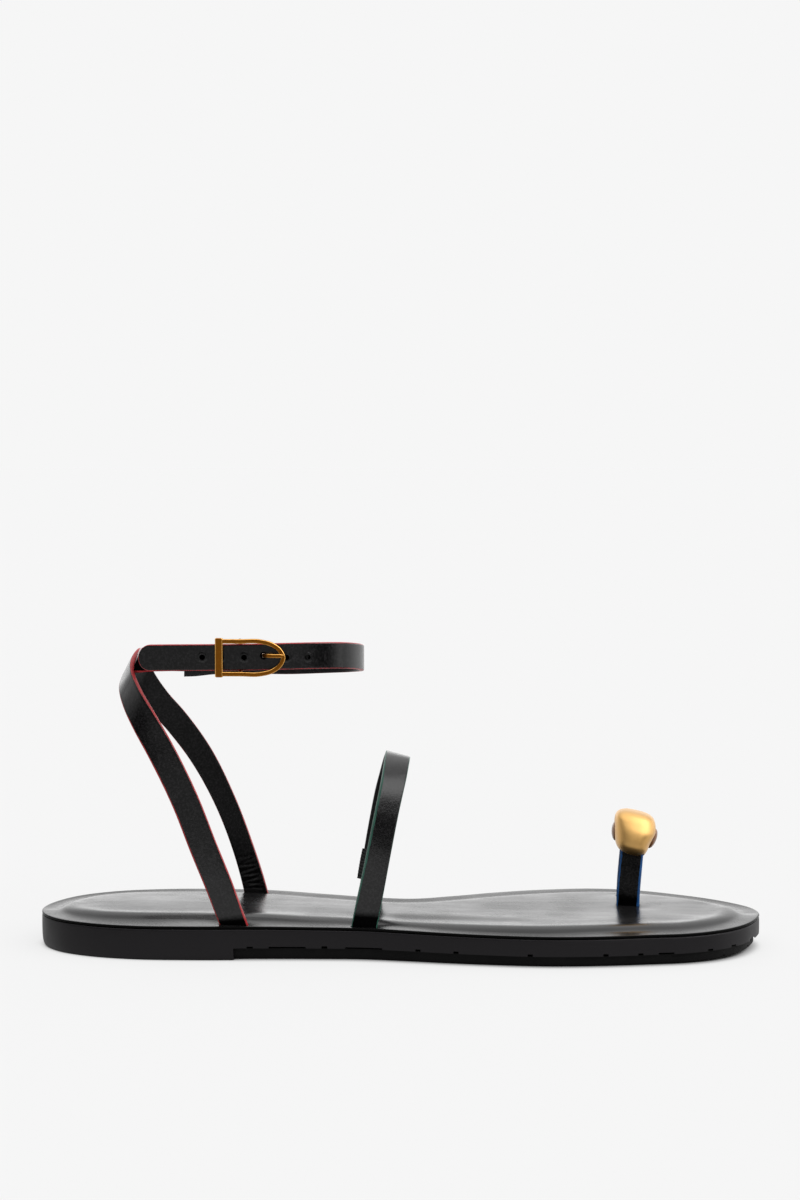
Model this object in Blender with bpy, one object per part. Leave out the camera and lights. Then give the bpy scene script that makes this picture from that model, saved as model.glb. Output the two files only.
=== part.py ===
"""Flat leather sandal, right shoe, standing empty on its sole.

Tables are in millimetres; MM turns them into metres. +X runs from heel to toe,
+Y to the inner (medial) side of the foot, +Z up, and the floor is z = 0.
"""
import bmesh
import bpy
import numpy as np
from math import cos, pi, radians, sin
from mathutils import Matrix

MM = 0.001

# Sizes in millimetres
GAP = 0.3                # clearance between pieces
FOOTBED_THICK = 1.0      # footbed at its flat rim
BREAST_X = -55.0         # front face of the heel block
TREAD_INSET = 2.0        # tread edge in from the side wall
TREAD_BEVEL = 1.8        # further inset of the tread at the floor
GROOVE_PITCH = 12.8      # cross grooves of the tread
GROOVE_WIDE = 2.4
GROOVE_DEEP = 1.7
GROOVE_MARGIN = 9.0      # tread left whole between a groove's end and the sole's edge
ANKLE_WIDE = 9.0
INSTEP_WIDE = 8.7
LEATHER_THICK = 1.8
TOE_LOOP_WIDE = 8.0
TOE_LOOP_THICK = 2.4
EDGE_ROUND = 0.5         # corner cut of a strap's section
HOLE_ROUND = 0.9         # radius of a punched hole
PRONG_HOLE_ROUND = 1.35  # radius of the hole the prong stands in
WIRE = 1.3               # buckle wire

# Sole plan, heel to toe: edge of the rim on each side, its height, the width of the
# rim up to the middle of the pillow's shoulder, and the pillow's height over the rim
# x, lateral y, medial y, rim z, lateral rim, medial rim, lateral pillow, medial pillow
SOLE = (
    (-126.4, -6.5, -6.5, 11.7, 7.0, 7.0, 1.3, 1.3),
    (-123.9, -17.5, 5.4, 11.7, 7.2, 6.9, 1.4, 1.3),
    (-117.2, -26.2, 16.6, 11.7, 7.3, 7.0, 1.6, 1.2),
    (-106.0, -32.8, 24.8, 11.7, 7.4, 7.4, 1.85, 1.2),
    (-90.0, -36.9, 29.7, 11.7, 8.8, 8.0, 1.9, 1.15),
    (-70.0, -37.4, 31.4, 11.7, 11.0, 8.5, 1.6, 1.1),
    (-48.0, -36.2, 29.7, 11.7, 8.6, 9.0, 1.6, 1.0),
    (-28.0, -35.3, 24.5, 11.5, 6.4, 9.0, 1.2, 0.9),
    (-10.0, -35.2, 20.0, 11.3, 6.6, 8.6, 0.8, 0.8),
    (3.0, -37.0, 19.3, 11.1, 6.3, 8.4, 0.7, 0.8),
    (17.0, -39.4, 25.7, 10.9, 5.0, 8.6, 1.15, 0.9),
    (33.0, -41.4, 34.8, 10.7, 4.4, 9.0, 1.55, 1.0),
    (52.0, -42.6, 42.1, 10.6, 4.8, 9.0, 1.75, 1.0),
    (70.0, -41.0, 44.9, 10.6, 6.5, 8.6, 1.65, 1.1),
    (86.0, -38.0, 41.6, 10.7, 6.4, 8.2, 1.6, 1.15),
    (100.0, -34.8, 34.5, 10.7, 6.4, 7.8, 1.45, 1.2),
    (112.0, -28.6, 25.1, 10.9, 7.0, 7.4, 1.35, 1.25),
    (119.8, -20.2, 16.7, 11.0, 7.2, 7.3, 1.3, 1.3),
    (124.4, -10.4, 9.5, 11.1, 7.3, 7.3, 1.3, 1.3),
    (126.4, -0.6, -0.6, 11.2, 7.4, 7.4, 1.3, 1.3),
)
SOLE_STEPS = 3           # outline points per span of the table

# Underside ahead of the heel block: bottom of the side wall and of the tread
# x, wall bottom z, tread bottom z
UNDERSIDE = (
    (-56.0, 4.2, 0.0),
    (-30.0, 4.2, 0.0),
    (0.0, 4.1, 0.0),
    (40.0, 3.8, 0.0),
    (80.0, 3.8, 0.0),
    (100.0, 4.0, 0.5),
    (114.0, 4.3, 1.1),
    (128.0, 4.7, 1.9),
)

# Footbed top from its edge inwards: share of the rim's width, further inset, height over
# the rim, and share of the pillow's height to add
# share, inset, over rim, pillow share
FOOTBED_TOP = (
    (0.0, 0.0, -0.45, 0.0),
    (0.0, 0.5, 0.0, 0.0),
    (0.6, 0.1, 0.0, 0.08),
    (1.0, -0.6, 0.0, 0.28),
    (1.0, 0.9, 0.0, 0.68),
    (1.0, 2.4, 0.0, 0.87),
    (1.0, 4.8, 0.0, 0.98),
)
FOOTBED_COLUMNS = (0.2, 0.5, 0.8)  # places across the pillow between its shoulders

# Side wall from the floor up: inset from the outline and height
# inset, share of the height
WALL = (
    (1.2, 0.0),
    (0.5, 0.09),
    (0.1, 0.3),
    (0.0, 0.6),
    (0.0, 0.93),
    (0.5, 1.0),
)

# Strap centre lines. rise lifts the width direction off the floor and turn
# swings it from +X towards +Y, both in degrees
# x, y, z, rise, turn, width
SLING = (
    (-54.9, -33.0, 10.9, 0.0, -6.0, 9.4),
    (-56.9, -33.5, 16.5, 14.0, -8.0, 9.4),
    (-60.3, -33.9, 25.8, 21.0, -2.0, 9.4),
    (-65.2, -33.7, 37.8, 22.0, 3.0, 9.4),
    (-71.8, -33.0, 54.4, 23.0, 3.0, 9.4),
    (-80.2, -31.3, 71.0, 28.0, 2.0, 9.4),
    (-86.0, -28.6, 80.4, 32.0, -10.0, 9.4),
    (-91.0, -23.6, 88.0, 38.0, -28.0, 9.4),
    (-94.3, -16.2, 93.8, 46.0, -40.0, 9.4),
    (-94.7, -8.2, 97.7, 54.0, -38.0, 9.4),
    (-94.0, 0.2, 99.2, 61.0, 0.0, 9.4),
    (-94.0, 7.0, 96.3, 53.0, 38.0, 9.4),
    (-92.9, 12.1, 90.6, 45.0, 26.0, 9.4),
    (-89.0, 15.9, 83.6, 40.0, 14.0, 9.4),
    (-82.6, 18.8, 75.6, 36.0, 10.0, 9.2),
    (-74.6, 21.0, 64.2, 29.0, 6.0, 8.8),
    (-65.3, 22.6, 46.0, 22.0, 0.0, 7.9),
    (-58.6, 23.5, 27.9, 19.0, -8.0, 7.9),
    (-55.2, 23.7, 16.5, 12.0, -8.0, 8.4),
    (-53.8, 23.8, 10.9, 0.0, -4.0, 8.6),
)
# x, y, z, rise, turn
ANKLE = (
    (-71.6, -30.5, 103.0, 90.0, 0.0),
    (-78.6, -29.6, 102.7, 88.0, 0.0),
    (-84.8, -26.2, 102.2, 80.0, 0.0),
    (-88.9, -18.2, 101.0, 68.0, 0.0),
    (-92.5, -5.0, 99.6, 62.0, 0.0),
    (-90.6, 7.0, 98.9, 66.0, 0.0),
    (-84.2, 14.9, 98.5, 80.0, 0.0),
    (-73.0, 18.6, 97.9, 88.0, 0.0),
    (-58.0, 20.0, 97.4, 90.0, 0.0),
    (-42.0, 19.0, 97.2, 90.0, 0.0),
    (-28.0, 15.6, 98.0, 90.0, 0.0),
    (-17.6, 7.6, 99.2, 90.0, 0.0),
    (-13.4, -4.0, 100.7, 90.0, 0.0),
    (-14.4, -16.0, 102.4, 90.0, 0.0),
    (-18.6, -25.0, 103.5, 90.0, 0.0),
    (-26.0, -30.6, 103.9, 90.0, 0.0),
    (-36.0, -33.4, 103.9, 90.0, 0.0),
    (-48.0, -34.2, 103.6, 90.0, 0.0),
    (-62.0, -34.2, 103.4, 90.0, 0.0),
    (-76.0, -33.4, 103.2, 90.0, 0.0),
    (-87.4, -31.5, 102.9, 90.0, 0.0),
)
TAIL_END_ROUND = 4.2     # radius of the tail's rounded end
INSTEP = (
    (-10.7, -32.5, 10.5, 0.0, -5.0),
    (-9.5, -32.8, 17.0, -6.0, 10.0),
    (-7.4, -33.1, 27.5, -9.0, 23.0),
    (-5.0, -32.2, 40.0, -9.4, 28.0),
    (-3.0, -29.8, 50.5, -10.0, 30.0),
    (-1.0, -24.4, 60.6, -11.0, 28.0),
    (-0.4, -17.0, 65.4, -13.0, 16.0),
    (-0.4, -8.8, 66.8, -14.0, 0.0),
    (-1.2, -0.6, 65.2, -13.0, -16.0),
    (-3.0, 6.8, 60.0, -11.0, -28.0),
    (-5.8, 12.4, 50.5, -10.0, -30.0),
    (-8.0, 14.8, 40.0, -9.4, -30.0),
    (-10.1, 15.5, 27.5, -9.0, -28.0),
    (-11.1, 15.2, 17.0, -6.0, -20.0),
    (-12.1, 14.9, 10.5, 0.0, -14.0),
)
TOE_LOOP = (
    (80.7, 7.6, 9.9, 0.0, -14.0),
    (81.1, 7.8, 17.0, -3.0, -12.0),
    (81.9, 8.8, 26.0, -6.0, -9.0),
    (82.6, 10.8, 33.0, -10.0, -5.0),
    (83.0, 15.6, 36.2, -12.0, 0.0),
    (82.8, 20.6, 33.0, -10.0, 3.0),
    (82.3, 23.6, 26.0, -6.0, 3.0),
    (81.7, 25.2, 17.0, -3.0, 3.0),
    (81.5, 25.5, 9.9, 0.0, 3.0),
)
# Elastic pieces: x, y, z, rise, turn, width, thickness
BUCKLE_GORE = (
    (-72.2, -28.7, 101.3, 88.0, 0.0, 10.0, 1.2),
    (-69.0, -28.6, 101.4, 89.0, 0.0, 10.0, 1.2),
    (-64.0, -29.2, 101.8, 90.0, 0.0, 9.6, 1.4),
    (-59.5, -30.4, 102.4, 90.0, 0.0, 9.4, 2.0),
    (-56.0, -31.0, 103.3, 90.0, 0.0, 8.6, 3.0),
    (-52.7, -31.0, 103.5, 90.0, 0.0, 8.6, 3.0),
    (-51.4, -31.0, 103.5, 90.0, 0.0, 8.6, 2.4),
)
INSTEP_GORE = (
    (-12.1, 13.7, 18.6, -7.0, -22.0, 9.0, 1.0),
    (-11.4, 13.8, 23.8, -8.0, -26.0, 9.0, 1.0),
    (-10.4, 13.7, 29.2, -9.0, -28.0, 9.0, 1.0),
)
# Buckle: rails with the round end, wide end bar and dropped centre bar
# x, y, z, rise, turn
BUCKLE_RAIL = (
    (-60.0, -36.4, 109.05, 0.0, 90.0),
    (-52.0, -36.4, 109.05, 0.0, 90.0),
    (-45.2, -36.4, 109.0, 0.0, 90.0),
    (-41.2, -36.4, 107.9, 0.0, 90.0),
    (-38.6, -36.4, 105.9, 0.0, 90.0),
    (-37.6, -36.4, 103.5, 0.0, 90.0),
    (-38.6, -36.4, 101.1, 0.0, 90.0),
    (-41.2, -36.4, 99.1, 0.0, 90.0),
    (-45.2, -36.4, 98.0, 0.0, 90.0),
    (-52.0, -36.4, 97.95, 0.0, 90.0),
    (-60.0, -36.4, 97.95, 0.0, 90.0),
)
END_BAR_CENTRE = (-59.4, -36.4, 103.5)
END_BAR_SIZE = (2.6, 1.5, 13.4)
CENTRE_BAR = (
    (-52.7, -36.4, 109.05, 0.0, 0.0),
    (-52.7, -33.6, 109.05, 0.0, 0.0),
    (-52.7, -31.4, 108.7, 0.0, 0.0),
    (-52.7, -31.0, 107.4, 0.0, 0.0),
    (-52.7, -31.0, 103.5, 0.0, 0.0),
    (-52.7, -31.0, 99.6, 0.0, 0.0),
    (-52.7, -31.4, 98.3, 0.0, 0.0),
    (-52.7, -33.6, 97.95, 0.0, 0.0),
    (-52.7, -36.4, 97.95, 0.0, 0.0),
)
PRONG = (
    (-52.7, -31.0, 103.6, 90.0, 0.0),
    (-49.5, -31.0, 103.7, 90.0, 0.0),
    (-46.6, -31.5, 103.9, 90.0, 0.0),
    (-44.8, -33.2, 104.1, 90.0, 0.0),
    (-43.7, -35.6, 104.2, 90.0, 0.0),
    (-42.3, -37.5, 104.3, 90.0, 0.0),
    (-40.0, -38.1, 104.3, 90.0, 0.0),
    (-37.2, -38.1, 104.3, 90.0, 0.0),
)
PRONG_EYE = 1.55         # radius of the prong's eye round the centre bar
HOLE_X = (-65.3, -58.1, -51.0, -36.7, -29.6)
HOLE_Z = 103.5
PRONG_HOLE = (-44.4, -34.1, 104.1)
TAIL = ANKLE[:14:-1]     # the ankle strap's outer layer, rear to front

# Nugget: sections along its own leaning axis, with a shift towards the toe
# level, half length, half width, shift
NUGGET = (
    (-7.4, 3.2, 6.2, 1.3),
    (-6.5, 4.9, 8.6, 0.6),
    (-4.2, 6.0, 10.8, 0.15),
    (-2.2, 6.5, 10.9, -0.05),
    (-0.6, 6.95, 10.6, -0.05),
    (1.6, 7.45, 9.9, 0.0),
    (3.4, 7.5, 9.0, -0.25),
    (5.1, 7.15, 8.0, -0.5),
    (6.6, 5.95, 6.6, -0.5),
    (7.5, 3.5, 4.2, -0.4),
)
NUGGET_CENTRE = (83.1, 15.4, 36.7)
NUGGET_LEAN = 13.0       # degrees, top towards the toe
NUGGET_SQUARE = 2.7      # power of the section's superellipse
INLAY_HALF = (1.7, 3.2, 3.8)
# name, x, y, z, lean of its long axis towards the toe
INLAYS = (
    ("nugget_inlay_rear", 76.9, 15.4, 37.4, 4.0),
    ("nugget_inlay_front", 89.6, 15.4, 34.6, 20.0),
)

# Colours
COLOURS = {
    "outsole": (0.02, 0.02, 0.02, 1.0),
    "midsole": (0.03, 0.03, 0.03, 1.0),
    "footbed": (0.05, 0.05, 0.05, 1.0),
    "leather": (0.03, 0.03, 0.03, 1.0),
    "gold": (0.75, 0.5, 0.18, 1.0),
    "brass": (0.5, 0.3, 0.08, 1.0),
    "inlay": (0.15, 0.08, 0.03, 1.0),
    "elastic": (0.02, 0.02, 0.02, 1.0),
}


def clear_scene():
    """Remove every object the start file brings."""
    for item in list(bpy.data.objects):
        bpy.data.objects.remove(item, do_unlink=True)


def smooth(rows, steps, closed=False):
    """Curve through the rows of a table, steps points per span, all columns."""
    rows = np.array(rows, float)
    count = len(rows)
    spans = count if closed else count - 1
    dims = min(3, rows.shape[1])
    curve = []
    for i in range(spans):
        here = rows[i]
        after = rows[(i + 1) % count]
        before = rows[i - 1] if closed or i > 0 else 2 * here - after
        later = rows[(i + 2) % count] if closed or i + 2 < count else 2 * after - here
        d0 = np.linalg.norm((here - before)[:dims])
        d1 = np.linalg.norm((after - here)[:dims])
        d2 = np.linalg.norm((later - after)[:dims])
        out = d1 * ((here - before) / d0 - (after - before) / (d0 + d1) + (after - here) / d1)
        into = d1 * ((after - here) / d1 - (later - here) / (d1 + d2) + (later - after) / d2)
        for k in range(steps):
            t = k / steps
            curve.append((2 * t ** 3 - 3 * t ** 2 + 1) * here + (t ** 3 - 2 * t ** 2 + t) * out
                         + (3 * t ** 2 - 2 * t ** 3) * after + (t ** 3 - t ** 2) * into)
    if not closed:
        curve.append(rows[-1])
    return np.array(curve)


def new_object(name, verts, faces, colour):
    """Closed mesh from points in millimetres, normals outwards."""
    mesh = bpy.data.meshes.new(name)
    mesh.from_pydata([tuple(float(c) * MM for c in v) for v in verts], [], faces)
    solid = bmesh.new()
    solid.from_mesh(mesh)
    bmesh.ops.recalc_face_normals(solid, faces=solid.faces)
    solid.to_mesh(mesh)
    solid.free()
    item = bpy.data.objects.new(name, mesh)
    bpy.context.scene.collection.objects.link(item)
    material = bpy.data.materials.new(name)
    material.use_nodes = True
    shader = material.node_tree.nodes["Principled BSDF"]
    shader.inputs["Base Color"].default_value = COLOURS[colour]
    shader.inputs["Roughness"].default_value = 0.3 if colour in ("gold", "brass") else 0.6
    shader.inputs["Metallic"].default_value = 1.0 if colour in ("gold", "brass") else 0.0
    mesh.materials.append(material)
    return item


def hide_tool(item):
    """Mark a helper body that only shapes another piece."""
    item.hide_render = True
    item.display_type = 'WIRE'
    return item


def combine(item, tool, operation):
    """Boolean of item with a helper body."""
    hide_tool(tool)
    step = item.modifiers.new(operation.lower() + "_" + tool.name, 'BOOLEAN')
    step.operation = operation
    step.solver = 'EXACT'
    step.object = tool


# Sole


def sole_sides():
    """Rim edge, rim width and pillow height from toe tip along the lateral side, round the heel and back."""
    rows = [(x, lateral, z, rim, pillow) for x, lateral, medial, z, rim, other, pillow, far in SOLE[::-1]]
    rows += [(x, medial, z, rim, pillow) for x, lateral, medial, z, other, rim, near, pillow in SOLE[1:-1]]
    return smooth(rows, SOLE_STEPS, closed=True)


def inward(edge):
    """Unit vector into the sole at each point of its edge."""
    along = np.roll(edge[:, :2], -1, axis=0) - np.roll(edge[:, :2], 1, axis=0)
    along /= np.linalg.norm(along, axis=1)[:, None]
    return np.stack([along[:, 1], -along[:, 0]], axis=1) * inward_sign(edge)


def inward_sign(edge):
    """+1 when the edge runs clockwise seen from above, -1 otherwise."""
    x, y = edge[:, 0], edge[:, 1]
    area = np.sum(x * np.roll(y, -1) - y * np.roll(x, -1))
    return 1.0 if area < 0 else -1.0


def ring(edge, inset, z):
    """The edge moved inwards by inset, at height z (each a number or one per point)."""
    flat = edge[:, :2] + inward(edge) * np.broadcast_to(inset, len(edge))[:, None]
    return np.column_stack([flat, np.broadcast_to(z, len(edge))])


def join_rings(count, size):
    """Side faces between rings of the same size, stacked in order."""
    faces = []
    for level in range(count - 1):
        for i in range(size):
            j = (i + 1) % size
            a = level * size
            faces.append((a + i, a + j, a + size + j, a + size + i))
    return faces


def ladder(verts, first, size, columns):
    """Close a ring with rows from side to side, with points at the given shares of each row."""
    half = size // 2
    faces = []
    rows = [[first]]
    for i in range(1, half):
        left, right = first + i, first + size - i
        row = [left]
        for share in columns:
            point = np.array(verts[left]) * (1 - share) + np.array(verts[right]) * share
            verts.append(point)
            row.append(len(verts) - 1)
        row.append(right)
        rows.append(row)
    rows.append([first + half])
    for near, far in zip(rows, rows[1:]):
        if len(near) == 1:
            faces += [(near[0], far[k], far[k + 1]) for k in range(len(far) - 1)]
        elif len(far) == 1:
            faces += [(near[k], far[0], near[k + 1]) for k in range(len(near) - 1)]
        else:
            faces += [(near[k], far[k], far[k + 1], near[k + 1]) for k in range(len(far) - 1)]
    return faces


def make_footbed(edge):
    """Covered insole: low rim, soft shoulder and raised pillow."""
    size = len(edge)
    under = edge[:, 2] - FOOTBED_THICK
    rings = [ring(edge, 0.5, under), ring(edge, 0.0, under + 0.3)]
    for share, inset, over, part in FOOTBED_TOP:
        rings.append(ring(edge, share * edge[:, 3] + inset, edge[:, 2] + over + part * edge[:, 4]))
    verts = [p for one in rings for p in one]
    faces = join_rings(len(rings), size)
    faces += ladder(verts, (len(rings) - 1) * size, size, FOOTBED_COLUMNS)
    faces += ladder(verts, 0, size, ())
    return new_object("footbed", verts, faces, "footbed")


def prism_along_y(name, profile, half_width, colour):
    """Solid with an XZ profile, run across the sole."""
    count = len(profile)
    verts = [(x, -half_width, z) for x, z in profile] + [(x, half_width, z) for x, z in profile]
    faces = [tuple(range(count)), tuple(range(count, 2 * count))]
    faces += [(i, (i + 1) % count, count + (i + 1) % count, count + i) for i in range(count)]
    return new_object(name, verts, faces, colour)


def make_midsole(edge):
    """Side wall and heel block in one, hollowed under the waist and forefoot."""
    size = len(edge)
    top = edge[:, 2] - FOOTBED_THICK - GAP
    rings = [ring(edge, inset, top * share) for inset, share in WALL]
    verts = [p for one in rings for p in one]
    faces = join_rings(len(rings), size)
    faces += ladder(verts, (len(rings) - 1) * size, size, ())
    faces += ladder(verts, 0, size, ())
    midsole = new_object("midsole", verts, faces, "midsole")
    profile = [(BREAST_X, -5.0), (BREAST_X, UNDERSIDE[0][1])]
    profile += [(x, wall) for x, wall, tread in UNDERSIDE if x > BREAST_X]
    profile += [(140.0, UNDERSIDE[-1][1] + 0.6), (140.0, -5.0)]
    combine(midsole, prism_along_y("midsole_hollow", profile, 70.0, "midsole"), 'DIFFERENCE')
    return midsole


def make_outsole(edge):
    """Rubber tread from the heel's breast to the toe, with cross grooves."""
    size = len(edge)
    rings = [
        ring(edge, TREAD_INSET + TREAD_BEVEL, -1.0),
        ring(edge, TREAD_INSET, 1.2),
        ring(edge, TREAD_INSET, 8.0),
    ]
    verts = [p for one in rings for p in one]
    faces = join_rings(3, size)
    faces += ladder(verts, 2 * size, size, ())
    faces += ladder(verts, 0, size, ())
    outsole = new_object("outsole", verts, faces, "outsole")
    start = BREAST_X + GAP
    under = [(start, UNDERSIDE[0][1], UNDERSIDE[0][2])] + [row for row in UNDERSIDE if row[0] > start]
    profile = [(x, wall - GAP) for x, wall, tread in under]
    profile += [(x, tread) for x, wall, tread in under[::-1]]
    combine(outsole, prism_along_y("outsole_layer", profile, 60.0, "outsole"), 'INTERSECT')
    verts = []
    faces = []
    x = BREAST_X + GROOVE_PITCH * 0.6
    while x < 116.0:
        bottom = np.interp(x, [row[0] for row in UNDERSIDE], [row[2] for row in UNDERSIDE])
        half = GROOVE_WIDE / 2
        base = len(verts)
        box = [(x - half, bottom - 3.0), (x + half, bottom - 3.0), (x + half * 0.6, bottom + GROOVE_DEEP),
               (x - half * 0.6, bottom + GROOVE_DEEP)]
        near = np.interp(x, [row[0] for row in SOLE], [row[1] for row in SOLE]) + GROOVE_MARGIN
        far = np.interp(x, [row[0] for row in SOLE], [row[2] for row in SOLE]) - GROOVE_MARGIN
        verts += [(a, near, z) for a, z in box] + [(a, far, z) for a, z in box]
        faces += [(base, base + 1, base + 2, base + 3), (base + 4, base + 5, base + 6, base + 7)]
        faces += [(base + i, base + (i + 1) % 4, base + 4 + (i + 1) % 4, base + 4 + i) for i in range(4)]
        x += GROOVE_PITCH
    combine(outsole, new_object("outsole_grooves", verts, faces, "outsole"), 'DIFFERENCE')
    return outsole


# Straps and wire


def strap_section(wide, thick, corner):
    """Rectangle with cut corners: places along the width and the thickness."""
    a, b = wide / 2, thick / 2
    c = min(corner, a * 0.9, b * 0.9)
    quarter = [(a, b - c), (a - c, b)]
    left = [(-u, v) for u, v in quarter[::-1]]
    return quarter + left + [(-u, -v) for u, v in quarter + left]


def sweep(stations, wide, thick, corner):
    """Points and faces of a strap or wire along stations (x, y, z, rise, turn[, width[, thickness]])."""
    places = stations[:, :3]
    along = np.gradient(places, axis=0)
    verts = []
    for row, step in zip(stations, along):
        step = step / np.linalg.norm(step)
        rise, turn = radians(row[3]), radians(row[4])
        across = np.array([cos(rise) * cos(turn), cos(rise) * sin(turn), sin(rise)])
        face = np.cross(step, across)
        slant = np.linalg.norm(face)
        face /= slant
        width = row[5] if len(row) > 5 else wide
        depth = row[6] if len(row) > 6 else thick
        for u, v in strap_section(width, depth, corner):
            verts.append(row[:3] + across * u / slant + face * v)
    count = len(stations)
    faces = join_rings(count, 8)
    faces += [tuple(range(8)), tuple(range((count - 1) * 8, count * 8))]
    return verts, faces


def make_strap(name, rows, wide, thick, steps, colour, corner=EDGE_ROUND):
    """One swept band, open at both ends of its path."""
    verts, faces = sweep(smooth(rows, steps), wide, thick, corner)
    return new_object(name, verts, faces, colour)


def cut_slot(footbed, name, rows, wide, thick):
    """Slot for one strap end: the strap's own path, a clearance bigger, run on downwards."""
    path = smooth([row[:5] for row in rows[:3]], 3)[:4]
    below = path[0].copy()
    below[:3] += (path[0][:3] - path[1][:3]) / np.linalg.norm(path[0][:3] - path[1][:3]) * 4.0
    path = np.vstack([below, path])
    verts, faces = sweep(path, wide + 2 * GAP, thick + 2 * GAP, EDGE_ROUND)
    combine(footbed, new_object(name, verts, faces, "footbed"), 'DIFFERENCE')


def drum(name, centre, radius, length, axis, colour, sides=10):
    """Cylinder along the x, y or z axis (0, 1 or 2)."""
    verts = []
    for end in (-0.5, 0.5):
        for i in range(sides):
            angle = 2 * pi * (i + 0.5) / sides
            point = np.roll([end * length, radius * cos(angle), radius * sin(angle)], axis)
            verts.append(np.array(centre) + point)
    faces = join_rings(2, sides) + [tuple(range(sides)), tuple(range(sides, 2 * sides))]
    return new_object(name, verts, faces, colour)


def block(name, centre, size, colour):
    """Box by centre and size."""
    cx, cy, cz = centre
    hx, hy, hz = (s / 2 for s in size)
    flat = [(cx - hx, cz - hz), (cx + hx, cz - hz), (cx + hx, cz + hz), (cx - hx, cz + hz)]
    verts = [(x, cy - hy, z) for x, z in flat] + [(x, cy + hy, z) for x, z in flat]
    faces = join_rings(2, 4) + [(0, 1, 2, 3), (4, 5, 6, 7)]
    return new_object(name, verts, faces, colour)


def round_tail(stations):
    """Narrow the last stations of the ankle strap to a rounded end."""
    half = ANKLE_WIDE / 2
    sizes = np.tile([ANKLE_WIDE, LEATHER_THICK], (len(stations), 1))
    rows = np.hstack([stations, sizes])
    tip = rows[-1].copy()
    back = rows[-2][:3] - tip[:3]
    back /= np.linalg.norm(back)
    kept = [r for r in rows if np.linalg.norm(r[:3] - tip[:3]) > TAIL_END_ROUND or r[0] > -70.0]
    for angle in (0.0, 30.0, 52.0, 70.0, 82.0):
        row = tip.copy()
        row[:3] += back * TAIL_END_ROUND * (1 - sin(radians(angle)))
        row[5] = 2 * (half - TAIL_END_ROUND * (1 - cos(radians(angle))))
        kept.append(row)
    return np.array(kept)


def make_ankle_upper():
    """Heel sling and ankle strap, one piece where they cross behind the heel."""
    verts, faces = sweep(round_tail(smooth(ANKLE, 3)), ANKLE_WIDE, LEATHER_THICK, EDGE_ROUND)
    strap = new_object("ankle_upper", verts, faces, "leather")
    sling = make_strap("heel_sling", SLING, 0.0, LEATHER_THICK, 3, "leather")
    combine(strap, sling, 'UNION')
    for number, x in enumerate(HOLE_X):
        y = np.interp(x, [row[0] for row in TAIL], [row[1] for row in TAIL])
        hole = drum("hole_%d" % number, (x, y, HOLE_Z), HOLE_ROUND, 2.6, 1, "leather")
        combine(strap, hole, 'DIFFERENCE')
    hole = drum("hole_prong", PRONG_HOLE, PRONG_HOLE_ROUND, 2.8, 1, "leather")
    combine(strap, hole, 'DIFFERENCE')
    return strap


def make_buckle():
    """Plain frame with its centre bar, the prong on the bar and the elastic that holds it."""
    frame = make_strap("buckle_frame", BUCKLE_RAIL, WIRE, 1.2, 3, "brass", 0.3)
    combine(frame, block("buckle_end_bar", END_BAR_CENTRE, END_BAR_SIZE, "brass"), 'UNION')
    combine(frame, make_strap("buckle_centre_bar", CENTRE_BAR, WIRE, WIRE, 2, "brass", 0.38), 'UNION')
    prong = make_strap("buckle_prong", PRONG, WIRE, WIRE, 3, "brass", 0.38)
    eye = drum("prong_eye", PRONG[0][:3], PRONG_EYE, 1.9, 2, "brass", 12)
    combine(prong, eye, 'UNION')
    bore = drum("prong_bore", PRONG[0][:3], WIRE / 2 + GAP, 4.0, 2, "brass", 12)
    combine(prong, bore, 'DIFFERENCE')
    gore = make_strap("buckle_gore", BUCKLE_GORE, 0.0, 0.0, 2, "elastic", 0.3)
    slit = block("gore_slit", (-52.0, -31.0, 103.65), (6.0, 6.0, 1.9 + 2 * GAP), "elastic")
    combine(gore, slit, 'DIFFERENCE')
    tunnel = drum("gore_tunnel", (-52.7, -31.0, 103.5), WIRE / 2 + GAP, 14.0, 2, "elastic", 12)
    combine(gore, tunnel, 'DIFFERENCE')
    return frame, prong, gore


def make_blob(name, sections, centre, lean, power, around, colour):
    """Solid through superellipse sections stacked along a leaning axis."""
    turn = np.array(Matrix.Rotation(radians(lean), 3, 'Y'))
    verts = []
    for level, long, wide, shift in sections:
        for i in range(around):
            angle = 2 * pi * i / around
            flat = np.array([cos(angle), sin(angle)])
            flat = np.sign(flat) * np.abs(flat) ** (2 / power) * (long, wide)
            verts.append(turn @ np.array([flat[0] + shift, flat[1], level]) + np.array(centre))
    faces = join_rings(len(sections), around)
    faces += [tuple(range(around)), tuple(range((len(sections) - 1) * around, len(sections) * around))]
    return new_object(name, verts, faces, colour)


def make_dome(name, centre, half, lean, grow, colour):
    """Flattened ellipsoid for an inlay, or for its pocket with grow added."""
    levels = []
    for k in range(1, 8):
        angle = pi * k / 8
        size = sin(angle)
        levels.append((-(half[2] + grow) * cos(angle), (half[0] + grow) * size, (half[1] + grow) * size, 0.0))
    return make_blob(name, levels, centre, lean, 2.0, 12, colour)


def make_nugget():
    """Gold ornament on the toe loop with an inlay on each end."""
    nugget = make_blob("toe_nugget", NUGGET, NUGGET_CENTRE, NUGGET_LEAN, NUGGET_SQUARE, 20, "gold")
    verts, faces = sweep(smooth(TOE_LOOP, 3), TOE_LOOP_WIDE + 2 * GAP, TOE_LOOP_THICK + 2 * GAP, EDGE_ROUND)
    combine(nugget, new_object("nugget_tunnel", verts, faces, "gold"), 'DIFFERENCE')
    for name, x, y, z, lean in INLAYS:
        make_dome(name, (x, y, z), INLAY_HALF, lean, 0.0, "inlay")
        pocket = make_dome(name + "_pocket", (x, y, z), INLAY_HALF, lean, GAP, "gold")
        combine(nugget, pocket, 'DIFFERENCE')


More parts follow.
